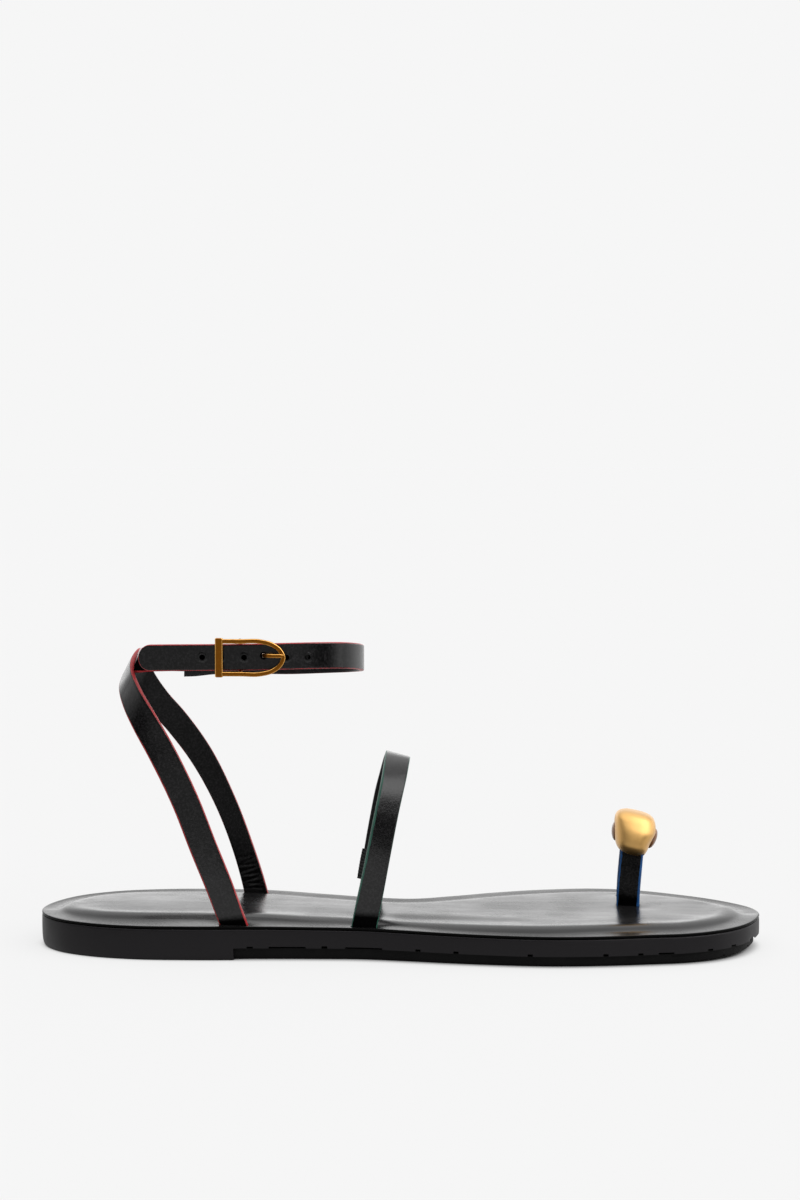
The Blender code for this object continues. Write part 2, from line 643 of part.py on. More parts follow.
def main():
    """Build the shoe."""
    clear_scene()
    edge = sole_sides()
    make_midsole(edge)
    make_outsole(edge)
    footbed = make_footbed(edge)
    cut_slot(footbed, "slot_sling_lateral", SLING, SLING[0][5], LEATHER_THICK)
    cut_slot(footbed, "slot_sling_medial", SLING[::-1], SLING[-1][5], LEATHER_THICK)
    cut_slot(footbed, "slot_instep_lateral", INSTEP, INSTEP_WIDE, LEATHER_THICK)
    cut_slot(footbed, "slot_instep_medial", INSTEP[::-1], INSTEP_WIDE, LEATHER_THICK)
    cut_slot(footbed, "slot_toe_near", TOE_LOOP, TOE_LOOP_WIDE, TOE_LOOP_THICK)
    cut_slot(footbed, "slot_toe_far", TOE_LOOP[::-1], TOE_LOOP_WIDE, TOE_LOOP_THICK)
    make_ankle_upper()
    make_strap("instep_strap", INSTEP, INSTEP_WIDE, LEATHER_THICK, 3, "leather")
    make_strap("toe_loop", TOE_LOOP, TOE_LOOP_WIDE, TOE_LOOP_THICK, 3, "leather")
    make_strap("instep_gore", INSTEP_GORE, 0.0, 0.0, 2, "elastic", 0.3)
    make_buckle()
    make_nugget()


main()
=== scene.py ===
"""Looks of the flat leather sandal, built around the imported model.

Tables are in millimetres; MM turns them into metres. +X runs from heel to toe,
+Y to the inner (medial) side of the foot, +Z up, and the floor is z = 0.
"""
import bmesh
import bpy
import numpy as np
from math import cos, pi, radians, sin
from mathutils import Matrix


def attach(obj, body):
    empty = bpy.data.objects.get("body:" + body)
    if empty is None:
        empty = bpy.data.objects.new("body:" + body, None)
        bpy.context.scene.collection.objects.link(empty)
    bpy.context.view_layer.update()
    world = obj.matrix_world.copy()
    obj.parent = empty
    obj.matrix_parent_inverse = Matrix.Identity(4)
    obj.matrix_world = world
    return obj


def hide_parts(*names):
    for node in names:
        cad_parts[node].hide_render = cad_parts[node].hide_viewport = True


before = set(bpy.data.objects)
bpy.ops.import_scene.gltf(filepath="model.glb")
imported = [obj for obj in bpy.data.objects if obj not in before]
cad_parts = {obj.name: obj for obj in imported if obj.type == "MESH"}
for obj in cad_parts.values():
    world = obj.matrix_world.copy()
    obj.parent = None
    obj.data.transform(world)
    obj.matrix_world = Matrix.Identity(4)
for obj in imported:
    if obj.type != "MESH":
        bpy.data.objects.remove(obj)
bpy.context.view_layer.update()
MM = 0.001

# Sizes in millimetres
GAP = 0.3  # clearance between pieces
BREAST_X = -55.0  # front face of the heel block
TREAD_INSET = 2.0  # tread edge in from the side wall
TREAD_BEVEL = 1.8  # further inset of the tread at the floor
GROOVE_PITCH = 12.8  # cross grooves of the tread
GROOVE_WIDE = 2.4
GROOVE_DEEP = 1.7
GROOVE_MARGIN = 9.0  # tread left whole between a groove's end and the sole's edge
SIPES_Y = (-26.0, -13.0, 0.0, 13.0, 26.0)  # lengthwise cuts of the tread
SIPE_WIDE = 1.2
SIPE_DEEP = 0.8
ANKLE_WIDE = 9.0
INSTEP_WIDE = 8.7
LEATHER_THICK = 1.8
TOE_LOOP_WIDE = 8.0
TOE_LOOP_THICK = 2.4
HOLE_ROUND = 0.9  # radius of a punched hole
HOLE_LONG = 3.0  # length of the punch
HOLE_OUT = 0.95  # its shift outwards: the hole stops inside the strap
HOLE_RIM_HIGH = 0.2  # raised rim round a hole: height, distance from the hole, half width
HOLE_RIM_OUT = 0.35
HOLE_RIM_HALF = 0.32
STRAP_STEPS = 24  # points per span of a strap's table
STRAP_CORNER = 0.55  # rounding of the straps' edges
INNER_WRAP = 0.3  # share of the paint's wrap on the inner face
BEAD_HIGH = 0.045  # thickness of the edge paint
BEAD_RUN = 0.15  # distance over which it rises
TAIL_END_ROUND = 4.2  # radius of the tail's rounded end
WIRE = 1.3  # buckle wire
CUT_HALF = 70.0  # half length of cutters that run across the whole sole
CUT_LOW = -5.0  # bottom of the cutter ahead of the heel, and its end past the toe
CUT_TOE = 140.0
NOTCH_SLOPE = 0.15  # how far the sides of a notch lean in
TREAD_GAP = 0.05  # gap between the tread and the heel's breast
GROOVE_LAST = 116.0  # no groove of the tread beyond this x

# Sole plan, heel to toe: edge of the rim on each side, its height, the width of the
# rim up to the middle of the pillow's shoulder, and the pillow's height over the rim
# x, lateral y, medial y, rim z, lateral rim, medial rim, lateral pillow, medial pillow
SOLE = (
    (-126.4, -6.5, -6.5, 11.7, 7, 7, 1.3, 1.3),
    (-123.9, -17.5, 5.4, 11.7, 7.2, 6.9, 1.4, 1.3),
    (-117.2, -26.2, 16.6, 11.7, 7.3, 7, 1.6, 1.2),
    (-106, -32.8, 24.8, 11.7, 7.4, 7.4, 1.85, 1.2),
    (-90, -36.9, 29.7, 11.7, 8.8, 8, 1.9, 1.15),
    (-70, -37.4, 31.4, 11.7, 11, 8.5, 1.6, 1.1),
    (-48, -36.2, 29.7, 11.7, 8.6, 9, 1.6, 1),
    (-28, -35.3, 24.5, 11.5, 6.4, 9, 1.2, 0.9),
    (-10, -35.2, 20, 11.3, 6.6, 8.6, 0.8, 0.8),
    (3, -37, 19.3, 11.1, 6.3, 8.4, 0.7, 0.8),
    (17, -39.4, 25.7, 10.9, 5, 8.6, 1.15, 0.9),
    (33, -41.4, 34.8, 10.7, 4.4, 9, 1.55, 1),
    (52, -42.6, 42.1, 10.6, 4.8, 9, 1.75, 1),
    (70, -41, 44.9, 10.6, 6.5, 8.6, 1.65, 1.1),
    (86, -38, 41.6, 10.7, 6.4, 8.2, 1.6, 1.15),
    (100, -34.8, 34.5, 10.7, 6.4, 7.8, 1.45, 1.2),
    (112, -28.6, 25.1, 10.9, 7, 7.4, 1.35, 1.25),
    (119.8, -20.2, 16.7, 11, 7.2, 7.3, 1.3, 1.3),
    (124.4, -10.4, 9.5, 11.1, 7.3, 7.3, 1.3, 1.3),
    (126.4, -0.6, -0.6, 11.2, 7.4, 7.4, 1.3, 1.3),
)
SOLE_STEPS = 12  # outline points per span of the table

# Underside ahead of the heel block: bottom of the side wall and of the tread
# x, wall bottom z, tread bottom z
UNDERSIDE = (
    (-56, 4.2, 0),
    (-30, 4.2, 0),
    (0, 4.1, 0),
    (40, 3.8, 0),
    (80, 3.8, 0),
    (100, 4, 0.5),
    (114, 4.3, 1.1),
    (128, 4.7, 1.9),
)
# Small cuts along the bottom edge of the side wall, where the tread's blocks meet it
# x, length, height
NOTCHES = (
    (-49.4, 2.4, 0.6),
    (-36.7, 12.9, 0.55),
    (-24, 2.2, 0.8),
    (-10.6, 12.9, 0.55),
    (8, 2, 0.8),
    (20.9, 2, 0.8),
    (45.9, 2, 0.8),
    (71.3, 2, 0.8),
    (83.1, 2, 0.7),
    (91.8, 5.6, 0.6),
    (107, 2, 0.7),
    (115.4, 2, 0.7),
    (122.7, 2.4, 0.7),
)

# Footbed section from below the edge to the pillow: share of the rim's width, inset, height
# over the rim, and share of the pillow's height to add
# share, inset, over rim, pillow share
FOOTBED_SECTION = (
    (0, 2.4, -0.95, 0),
    (0, 0.75, -0.95, 0),
    (0, 0.3, -0.85, 0),
    (0, 0.08, -0.66, 0),
    (0, 0, -0.44, 0),
    (0, 0.06, -0.22, 0),
    (0, 0.24, -0.06, 0),
    (0, 0.5, 0, 0),
    (0, 0.9, 0.02, 0),
    (0.25, 0.7, 0.02, 0.015),
    (0.5, 0.3, 0.02, 0.05),
    (0.7, 0, 0.02, 0.11),
    (0.85, -0.2, 0.02, 0.18),
    (1, -0.6, 0.02, 0.28),
    (1, 0, 0.02, 0.46),
    (1, 0.6, 0.02, 0.62),
    (1, 1.2, 0.01, 0.74),
    (1, 2, 0, 0.84),
    (1, 3, 0, 0.91),
    (1, 4, 0, 0.955),
    (1, 5.2, 0, 0.985),
)
EDGE_ROWS = 7  # rows of the section that make the outer rounded edge
TOP_ROW = 8  # first row that the hollows and swells lift
PILLOW_COLUMNS = 26  # points across the pillow
SWELL_INSET = 3.5  # soft swell inside the lateral shoulder: distance from its middle
SWELL_HIGH = 0.4
SWELL_HALF = 3.5
TROUGH_INSET = -2.0  # soft trough at the foot of the medial shoulder
TROUGH_DEEP = -0.5
TROUGH_HALF = 3.5

# Soft hollows (below 0) and swells (above 0) of the footbed, each along a short line
# x start, y start, x end, y end, lift, half width
FOOTBED_SOFT = (
    (-98, 0, -66, 0, 0.4, 13),
    (-100, -19, -56, -22, -0.12, 4.5),
    (-58, -20, -20, -22, 0.16, 4),
    (-30, -6, 12, -10, 0.22, 9),
    (2, -21, 44, -25, -0.2, 3.6),
    (0, -14, 40, -17, 0.16, 3.6),
    (40, -8, 70, -4, -0.34, 17),
    (92, -14, 97, 14, 0.22, 6),
    (104, -8, 108, 8, -0.2, 5),
    (-61, -31, -48, -31, -0.14, 2.2),
    (-15, -30, -5, -30, -0.12, 2.2),
    (77, 2.6, 86, 2.6, -0.16, 2.6),
    (77, 28.2, 86, 28.2, -0.16, 2.6),
)

# Side wall: inset from the outline at each height above the floor, and below its top
# inset, height
WALL_FOOT = (
    (1.9, 0),
    (1.25, 0.05),
    (0.85, 0.25),
    (0.55, 0.6),
    (0.34, 1.2),
    (0.18, 2.2),
    (0.06, 3.6),
)
# inset, depth under the top
WALL_HEAD = (
    (0, 4),
    (0, 2.2),
    (0.02, 0.8),
    (0.06, 0.35),
    (0.18, 0.1),
    (0.4, 0),
    (4, 0),
)
WALL_TOP_UNDER_RIM = 1.05

# Strap centre lines. rise lifts the width direction off the floor and turn
# swings it from +X towards +Y, both in degrees
# x, y, z, rise, turn, width
SLING = (
    (-54.9, -33, 10.9, 0, -6, 9.4),
    (-56.9, -33.5, 16.5, 14, -8, 9.4),
    (-60.3, -33.9, 25.8, 21, -2, 9.4),
    (-65.2, -33.7, 37.8, 22, 3, 9.4),
    (-71.8, -33, 54.4, 23, 3, 9.4),
    (-80.2, -31.3, 71, 28, 2, 9.4),
    (-86, -28.6, 80.4, 32, -10, 9.4),
    (-91, -23.6, 88, 38, -28, 9.4),
    (-94.3, -16.2, 93.8, 46, -40, 9.4),
    (-94.7, -8.2, 97.7, 54, -38, 9.4),
    (-94, 0.2, 99.2, 61, 0, 9.4),
    (-94, 7, 96.3, 53, 38, 9.4),
    (-92.9, 12.1, 90.6, 45, 26, 9.4),
    (-89, 15.9, 83.6, 40, 14, 9.4),
    (-82.6, 18.8, 75.6, 36, 10, 9.2),
    (-74.6, 21, 64.2, 29, 6, 8.8),
    (-65.3, 22.6, 46, 22, 0, 7.9),
    (-58.6, 23.5, 27.9, 19, -8, 7.9),
    (-55.2, 23.7, 16.5, 12, -8, 8.4),
    (-53.8, 23.8, 10.9, 0, -4, 8.6),
)
# x, y, z, rise, turn
ANKLE = (
    (-71.6, -30.5, 103, 90, 0),
    (-78.6, -29.6, 102.7, 88, 0),
    (-84.8, -26.2, 102.2, 80, 0),
    (-88.9, -18.2, 101, 68, 0),
    (-92.5, -5, 99.6, 62, 0),
    (-90.6, 7, 98.9, 66, 0),
    (-84.2, 14.9, 98.5, 80, 0),
    (-73, 18.6, 97.9, 88, 0),
    (-58, 20, 97.4, 90, 0),
    (-42, 19, 97.2, 90, 0),
    (-28, 15.6, 98, 90, 0),
    (-17.6, 7.6, 99.2, 90, 0),
    (-13.4, -4, 100.7, 90, 0),
    (-14.4, -16, 102.4, 90, 0),
    (-18.6, -25, 103.5, 90, 0),
    (-26, -30.6, 103.9, 90, 0),
    (-36, -33.4, 103.9, 90, 0),
    (-48, -34.2, 103.6, 90, 0),
    (-62, -34.2, 103.4, 90, 0),
    (-76, -33.4, 103.2, 90, 0),
    (-87.4, -31.5, 102.9, 90, 0),
)
INSTEP = (
    (-10.7, -32.5, 10.5, 0, -5),
    (-9.5, -32.8, 17, -6, 10),
    (-7.4, -33.1, 27.5, -9, 23),
    (-5, -32.2, 40, -9.4, 28),
    (-3, -29.8, 50.5, -10, 30),
    (-1, -24.4, 60.6, -11, 28),
    (-0.4, -17, 65.4, -13, 16),
    (-0.4, -8.8, 66.8, -14, 0),
    (-1.2, -0.6, 65.2, -13, -16),
    (-3, 6.8, 60, -11, -28),
    (-5.8, 12.4, 50.5, -10, -30),
    (-8, 14.8, 40, -9.4, -30),
    (-10.1, 15.5, 27.5, -9, -28),
    (-11.1, 15.2, 17, -6, -20),
    (-12.1, 14.9, 10.5, 0, -14),
)
TOE_LOOP = (
    (80.7, 7.6, 9.9, 0, -14),
    (81.1, 7.8, 17, -3, -12),
    (81.9, 8.8, 26, -6, -9),
    (82.6, 10.8, 33, -10, -5),
    (83, 15.6, 36.2, -12, 0),
    (82.8, 20.6, 33, -10, 3),
    (82.3, 23.6, 26, -6, 3),
    (81.7, 25.2, 17, -3, 3),
    (81.5, 25.5, 9.9, 0, 3),
)
# Elastic pieces: x, y, z, rise, turn, width, thickness
BUCKLE_GORE = (
    (-72.2, -28.7, 101.3, 88, 0, 10, 1.2),
    (-69, -28.6, 101.4, 89, 0, 10, 1.2),
    (-64, -29.2, 101.8, 90, 0, 9.6, 1.4),
    (-59.5, -30.4, 102.4, 90, 0, 9.4, 2),
    (-56, -31, 103.3, 90, 0, 8.6, 3),
    (-52.7, -31, 103.5, 90, 0, 8.6, 3),
    (-51.4, -31, 103.5, 90, 0, 8.6, 2.4),
)
INSTEP_GORE = (
    (-12.1, 13.7, 18.6, -7, -22, 9, 1),
    (-11.4, 13.8, 23.8, -8, -26, 9, 1),
    (-10.4, 13.7, 29.2, -9, -28, 9, 1),
)
RIB_PITCH = 1.15  # ribs of the elastic
RIB_HIGH = 0.09

# Creases of the straps: distance from the start (below 0: from the end), lift of the
# surface, half length, slant across the width, and the face: 1 inner, -1 outer
# place, lift, half length, slant, face
SLING_CREASES = (
    (-3, -0.4, 0.36, 0.1, 1),
    (-3.9, 0.34, 0.38, -0.14, 1),
    (-4.8, -0.44, 0.36, 0.22, 1),
    (-5.6, 0.36, 0.38, -0.06, 1),
    (-6.5, -0.44, 0.38, -0.2, 1),
    (-7.4, 0.32, 0.38, 0.16, 1),
    (-8.3, -0.4, 0.36, 0.08, 1),
    (-9.2, 0.28, 0.4, -0.22, 1),
    (-10.1, -0.34, 0.38, -0.08, 1),
    (-11, 0.2, 0.4, 0.18, 1),
    (-11.9, -0.24, 0.38, 0.12, 1),
    (-13.2, -0.18, 0.45, -0.16, 1),
    (-15, -0.12, 0.55, 0.1, 1),
    (4.6, -0.1, 0.7, 0.12, -1),
    (7.2, -0.06, 0.9, -0.1, -1),
    (92, -0.09, 2, 0.25, -1),
    (99, -0.12, 2.2, -0.2, -1),
    (104, 0.08, 2, 0.2, -1),
    (118, -0.1, 2, 0.15, -1),
    (124, -0.12, 2.2, -0.15, -1),
)
ANKLE_CREASES = (
    (19, -0.08, 1.8, 0.1, -1),
    (24, -0.1, 1.6, -0.1, -1),
    (48, -0.1, 1.8, 0.1, -1),
    (54, -0.07, 1.6, -0.1, -1),
    (139, -0.07, 1.4, 0.08, 1),
    (146, -0.1, 1.4, -0.08, 1),
    (152, -0.12, 1.3, 0.06, 1),
    (158, -0.1, 1.4, -0.1, 1),
    (165, -0.12, 1.3, 0.05, 1),
    (172, -0.08, 1.5, -0.05, 1),
    (178, -0.08, 1.5, 0.08, 1),
)
INSTEP_CREASES = (
    (3.2, -0.08, 0.8, 0.1, -1),
    (52, -0.07, 1.8, 0.12, 1),
    (58, -0.09, 1.6, -0.1, 1),
    (64, -0.1, 1.6, 0.06, 1),
    (70, -0.09, 1.6, -0.12, 1),
    (76, -0.07, 1.8, 0.1, 1),
    (-3.4, -0.1, 0.7, -0.1, 1),
    (-5.2, -0.08, 0.7, 0.12, 1),
)
TOE_CREASES = (
    (2.6, -0.1, 0.6, 0.08, -1),
    (4.4, -0.07, 0.7, -0.1, -1),
    (6.6, -0.05, 0.8, 0.1, -1),
)

# Buckle: rails with the round end, wide end bar and dropped centre bar. Each is the same above
# and below its middle, so its table holds the half on one side
BUCKLE_Y = -36.4
BUCKLE_Z = 103.5  # middle of the buckle
# x, height over the middle
RAIL_HALF = (
    (-60, 5.55),
    (-52, 5.55),
    (-45.2, 5.5),
    (-41.2, 4.4),
    (-38.6, 2.4),
    (-37.6, 0),
)
RAIL_WIDE = 1.3
RAIL_THICK = 1.5
END_BAR_X = -59.4
# width, thickness, height over the middle
END_BAR_HALF = (
    (2.1, 1, -6.65),
    (2.4, 1.3, -6.55),
    (2.6, 1.5, -6.3),
    (2.6, 1.5, -5.9),
)
CENTRE_BAR_X = -52.7
# y, height over the middle
CENTRE_BAR_HALF = (
    (-36.4, 5.55),
    (-33.6, 5.55),
    (-31.4, 5.2),
    (-31, 3.9),
    (-31, 0),
)
RAIL_CORNER = 0.34  # rounding of the rails, end bar, centre bar and prong
END_BAR_CORNER = 0.36
WIRE_CORNER = 0.6
PRONG_CORNER = 0.3
# x, y, z, rise, turn, width, thickness
PRONG = (
    (-51.4, -31, 103.6, 90, 0, 1.3, 1.2),
    (-49.5, -31, 103.7, 90, 0, 1.3, 1.2),
    (-46.6, -31.5, 103.9, 90, 0, 1.3, 1.2),
    (-44.8, -33.2, 104.1, 90, 0, 1.3, 1.2),
    (-43.7, -35.6, 104.2, 90, 0, 1.3, 1.2),
    (-42.3, -37.5, 104.3, 90, 0, 1.3, 1.2),
    (-40, -38.1, 104.3, 90, 0, 1.25, 1.2),
    (-38, -38.1, 104.3, 90, 0, 1.15, 1.1),
    (-37.3, -38.1, 104.3, 90, 0, 0.7, 0.7),
)
PRONG_EYE_CENTRE = (-52.7, -31.0, 103.6)
PRONG_EYE = 1.55  # radius of the prong's eye round the centre bar
HOLE_X = (-65.3, -58.9, -51.0, -36.7, -29.6)
HOLE_Z = 103.5
PRONG_HOLE = (-44.4, -34.1, 104.1)
PRONG_HOLE_ROUND = 1.3  # reach of the hole the prong stands in
PRONG_CLEAR = 0.5  # how much wider than the prong that hole is
SLIT_X = (-55.0, -49.0)  # slit of the buckle's elastic for the prong's eye
SLIT_Z = (102.4, 104.9)
TAIL = ANKLE[:14:-1]  # the ankle strap's outer layer, rear to front

# Nugget: sections along its own leaning axis, with a shift towards the toe
# level, half length, half width, shift
NUGGET = (
    (-7.6, 2, 4.4, 1.8),
    (-7.3, 3.4, 6.4, 1.2),
    (-6.4, 4.9, 8.8, 0.6),
    (-4.2, 6, 10.8, 0.15),
    (-2.2, 6.5, 10.9, -0.05),
    (-0.6, 6.95, 10.6, -0.05),
    (1.6, 7.45, 9.9, 0),
    (3.4, 7.5, 9, -0.25),
    (5.1, 7.15, 8, -0.5),
    (6.3, 6.4, 7, -0.5),
    (7.1, 5.1, 5.7, -0.45),
    (7.55, 3.2, 3.8, -0.4),
    (7.7, 1.5, 2.2, -0.4),
)
NUGGET_CENTRE = (83.1, 15.4, 36.7)
NUGGET_LEAN = 13.0  # degrees, top towards the toe
NUGGET_SQUARE = 2.7  # power of the section's superellipse
INLAY_HALF = (1.7, 3.2, 3.8)
# name, x, y, z, lean of its long axis towards the toe, node it stands for
INLAYS = (
    ("inlay_rear", 76.9, 15.4, 37.4, 4, "nugget_inlay_rear"),
    ("inlay_front", 89.6, 15.4, 34.6, 20, "nugget_inlay_front"),
)

# Camera at the photograph's place, in millimetres and degrees
CAMERA_PLACE = (41.87, -800.2, 171.7)
CAMERA_DOWN = 3.627
CAMERA_YAW = 3.0
CAMERA_LENS = 68.47
BACKGROUND = 0.9217  # pale grey of the studio behind the shoe
BACKDROP_LIGHT = 1.7  # light from low at the sides and the back
HEEL_SHARE = 0.55  # share of it left on the heel's side
UPPER_LIGHT = 0.95  # light from halfway up
CEILING_LIGHT = 0.6  # more light from overhead
SOFTBOX_FRONT = 1.9  # wide soft box above the camera
SOFTBOX_SIDE = 4.0  # its brighter end, reaching down on the toe's side
SOFTBOX_SLANT = 0.42  # how far it reaches down there
SOFTBOX_EDGE = (0.6, 0.71)  # heights over which the box's lower edge fades in
DARK_FRONT = 0.28  # share of light left low in the dark room behind the camera
DARK_SIDE = 0.04  # and higher up and on the toe's side
# Ramps of the light over the directions, as shares of a unit vector
# name, axis, start, end, level at the start, level at the end
STUDIO_RAMPS = (
    ("around", "Z", 0.15, 0.45, BACKDROP_LIGHT, UPPER_LIGHT),
    ("overhead", "Z", 0.5, 0.75, 0, CEILING_LIGHT),
    ("heel side", "X", -0.9, -0.6, HEEL_SHARE, 1),
    ("behind", "Y", -0.45, -0.05, 0, 1),
    ("high", "Z", 0.55, 0.64, 0, 1),
    ("dark sideways", "X", 0.35, 0.75, DARK_FRONT, DARK_SIDE),
    ("dark upwards", "Z", 0.16, 0.28, DARK_FRONT, DARK_SIDE),
    ("slant", "X", 0, 1, 0, SOFTBOX_SLANT),
    ("front", "Y", -0.12, 0.15, 1, 0),
    ("lamp", "X", 0.1, 0.55, SOFTBOX_FRONT, SOFTBOX_SIDE),
)
NOISE_RANGE = (0.3, 0.7)  # usual range of a noise
NOISE_ROUGH = 0.55
FLOOR_Z = -0.05  # just under the sole
FLOOR_PALE = 0.1  # floor colour
FLOOR_GLOW = 0.7567  # light of its own, so that it comes out as pale as the background
SHADOW_REACH = 10.0  # how far from the sole its soft shadow reaches on the floor
SHADOW_SKY = (0.1, 0.62)  # share of open sky where the floor is dark, and where it is pale
# Rim of the floor: its front is only as wide as the picture shows, the rest runs far out
# x, y
FLOOR_RIM = (
    (-190, -300),
    (190, -300),
    (240, -50),
    (30000, 0),
    (30000, 30000),
    (-30000, 30000),
    (-30000, 0),
    (-240, -50),
)


# Shapes


def smooth(rows, steps, closed=False):
    """Curve through the rows of a table, steps points per span, all columns."""
    rows = np.array(rows, float)
    count = len(rows)
    spans = count if closed else count - 1
    dims = min(3, rows.shape[1])
    curve = []
    for i in range(spans):
        here = rows[i]
        after = rows[(i + 1) % count]
        before = rows[i - 1] if closed or i > 0 else 2 * here - after
        later = rows[(i + 2) % count] if closed or i + 2 < count else 2 * after - here
        d0 = np.linalg.norm((here - before)[:dims])
        d1 = np.linalg.norm((after - here)[:dims])
        d2 = np.linalg.norm((later - after)[:dims])
        out = d1 * ((here - before) / d0 - (after - before) / (d0 + d1) + (after - here) / d1)
        into = d1 * ((after - here) / d1 - (later - here) / (d1 + d2) + (later - after) / d2)
        for k in range(steps):
            t = k / steps
            curve.append((2 * t ** 3 - 3 * t ** 2 + 1) * here + (t ** 3 - 2 * t ** 2 + t) * out
                         + (3 * t ** 2 - 2 * t ** 3) * after + (t ** 3 - t ** 2) * into)
    if not closed:
        curve.append(rows[-1])
    return np.array(curve)


def even(curve, pitch):
    """The curve with points about pitch apart, and their distances from its start."""
    steps = np.linalg.norm(np.diff(curve[:, :3], axis=0), axis=1)
    places = np.concatenate([[0.0], np.cumsum(steps)])
    wanted = np.linspace(0.0, places[-1], max(2, int(places[-1] / pitch) + 1))
    columns = [np.interp(wanted, places, curve[:, k]) for k in range(curve.shape[1])]
    return np.column_stack(columns), wanted


def new_object(name, verts, faces, sharp=40.0, marks=None):
    """Mesh from points in millimetres, normals outwards, smooth up to the sharp angle."""
    mesh = bpy.data.meshes.new(name)
    mesh.from_pydata([tuple(float(c) * MM for c in v) for v in verts], [], faces)
    solid = bmesh.new()
    solid.from_mesh(mesh)
    bmesh.ops.recalc_face_normals(solid, faces=solid.faces)
    solid.to_mesh(mesh)
    solid.free()
    for key, values in (marks or {}).items():
        layer = mesh.attributes.new(key, 'FLOAT', 'POINT')
        layer.data.foreach_set("value", np.array(values, np.float32))
    item = bpy.data.objects.new(name, mesh)
    bpy.context.scene.collection.objects.link(item)
    shade(item, sharp)
    return item


def shade(item, sharp):
    """Smooth shading with creased edges above the angle."""
    item.data.polygons.foreach_set("use_smooth", [True] * len(item.data.polygons))
    item.data.set_sharp_from_angle(angle=radians(sharp))


def combine(item, tools, operation, sharp=40.0):
    """Boolean of item with helper bodies, applied at once; the helpers go."""
    for tool in tools:
        step = item.modifiers.new(tool.name, 'BOOLEAN')
        step.operation = operation
        step.solver = 'EXACT'
        step.object = tool
    made = item.evaluated_get(bpy.context.evaluated_depsgraph_get())
    mesh = bpy.data.meshes.new_from_object(made)
    item.modifiers.clear()
    item.data = mesh
    for tool in tools:
        bpy.data.objects.remove(tool, do_unlink=True)
    shade(item, sharp)
    return item


def join_rings(count, size):
    """Side faces between rings of the same size, stacked in order."""
    faces = []
    for level in range(count - 1):
        for i in range(size):
            j = (i + 1) % size
            a = level * size
            faces.append((a + i, a + j, a + size + j, a + size + i))
    return faces


def at_x(table, x, column):
    """Value of a table's column at x, its first column."""
    return np.interp(x, [row[0] for row in table], [row[column] for row in table])


def stack(name, rings, sharp=40.0, marks=None):
    """Closed body through rings of the same size."""
    size = len(rings[0])
    count = len(rings)
    faces = join_rings(count, size)
    faces += [tuple(range(size)), tuple(range((count - 1) * size, count * size))]
    return new_object(name, [p for one in rings for p in one], faces, sharp, marks)


# Sole


def sole_sides():
    """Rim edge, rim width and pillow height from toe tip along the lateral side, round the heel and back."""
    rows = [(x, lateral, z, rim, pillow) for x, lateral, medial, z, rim, other, pillow, far in SOLE[::-1]]
    rows += [(x, medial, z, rim, pillow) for x, lateral, medial, z, other, rim, near, pillow in SOLE[1:-1]]
    return smooth(rows, SOLE_STEPS, closed=True)


def inward(edge):
    """Unit vector into the sole at each point of its edge, which runs clockwise from above."""
    along = np.roll(edge[:, :2], -1, axis=0) - np.roll(edge[:, :2], 1, axis=0)
    along /= np.linalg.norm(along, axis=1)[:, None]
    return np.stack([along[:, 1], -along[:, 0]], axis=1)


def ring(edge, inset, z):
    """The edge moved inwards by inset, at height z (each a number or one per point)."""
    flat = edge[:, :2] + inward(edge) * np.broadcast_to(inset, len(edge))[:, None]
    return np.column_stack([flat, np.broadcast_to(z, len(edge))])


def ladder(verts, first, size, columns):
    """Close a ring with rows from side to side, with so many points inside each row."""
    half = size // 2
    shares = [k / (columns + 1) for k in range(1, columns + 1)]
    rows = [[first]]
    faces = []
    for i in range(1, half):
        left, right = first + i, first + size - i
        row = [left]
        for share in shares:
            point = np.array(verts[left]) * (1 - share) + np.array(verts[right]) * share
            verts.append(point)
            row.append(len(verts) - 1)
        row.append(right)
        rows.append(row)
    rows.append([first + half])
    for near, far in zip(rows, rows[1:]):
        if len(near) == 1:
            faces += [(near[0], far[k], far[k + 1]) for k in range(len(far) - 1)]
        elif len(far) == 1:
            faces += [(near[k], far[0], near[k + 1]) for k in range(len(near) - 1)]
        else:
            faces += [(near[k], far[k], far[k + 1], near[k + 1]) for k in range(len(far) - 1)]
    return faces


def ring_mesh(rings, columns=0):
    """Points and faces of a body through rings, its top closed with so many points across."""
    size = len(rings[0])
    verts = [p for one in rings for p in one]
    faces = join_rings(len(rings), size)
    faces += ladder(verts, (len(rings) - 1) * size, size, columns)
    faces += ladder(verts, 0, size, 0)
    return verts, faces


def soft_lift(points, edge):
    """Sum of the footbed's hollows and swells at each point."""
    lift = np.zeros(len(points))
    half = len(edge) // 2
    for side, inset, high, wide in ((slice(0, half), SWELL_INSET, SWELL_HIGH, SWELL_HALF),
                                    (slice(half, None), TROUGH_INSET, TROUGH_DEEP, TROUGH_HALF)):
        line = ring(edge, edge[:, 3] + inset, 0.0)[side, :2]
        away = np.linalg.norm(points[:, None, :2] - line[None], axis=2).min(1)
        lift += high * np.exp(-(away / wide) ** 2)
    for x0, y0, x1, y1, high, half in FOOTBED_SOFT:
        start = np.array([x0, y0])
        run = np.array([x1 - x0, y1 - y0])
        share = np.clip((points[:, :2] - start) @ run / (run @ run), 0.0, 1.0)
        away = np.linalg.norm(points[:, :2] - start - share[:, None] * run, axis=1)
        lift += high * np.exp(-(away / half) ** 2)
    return lift


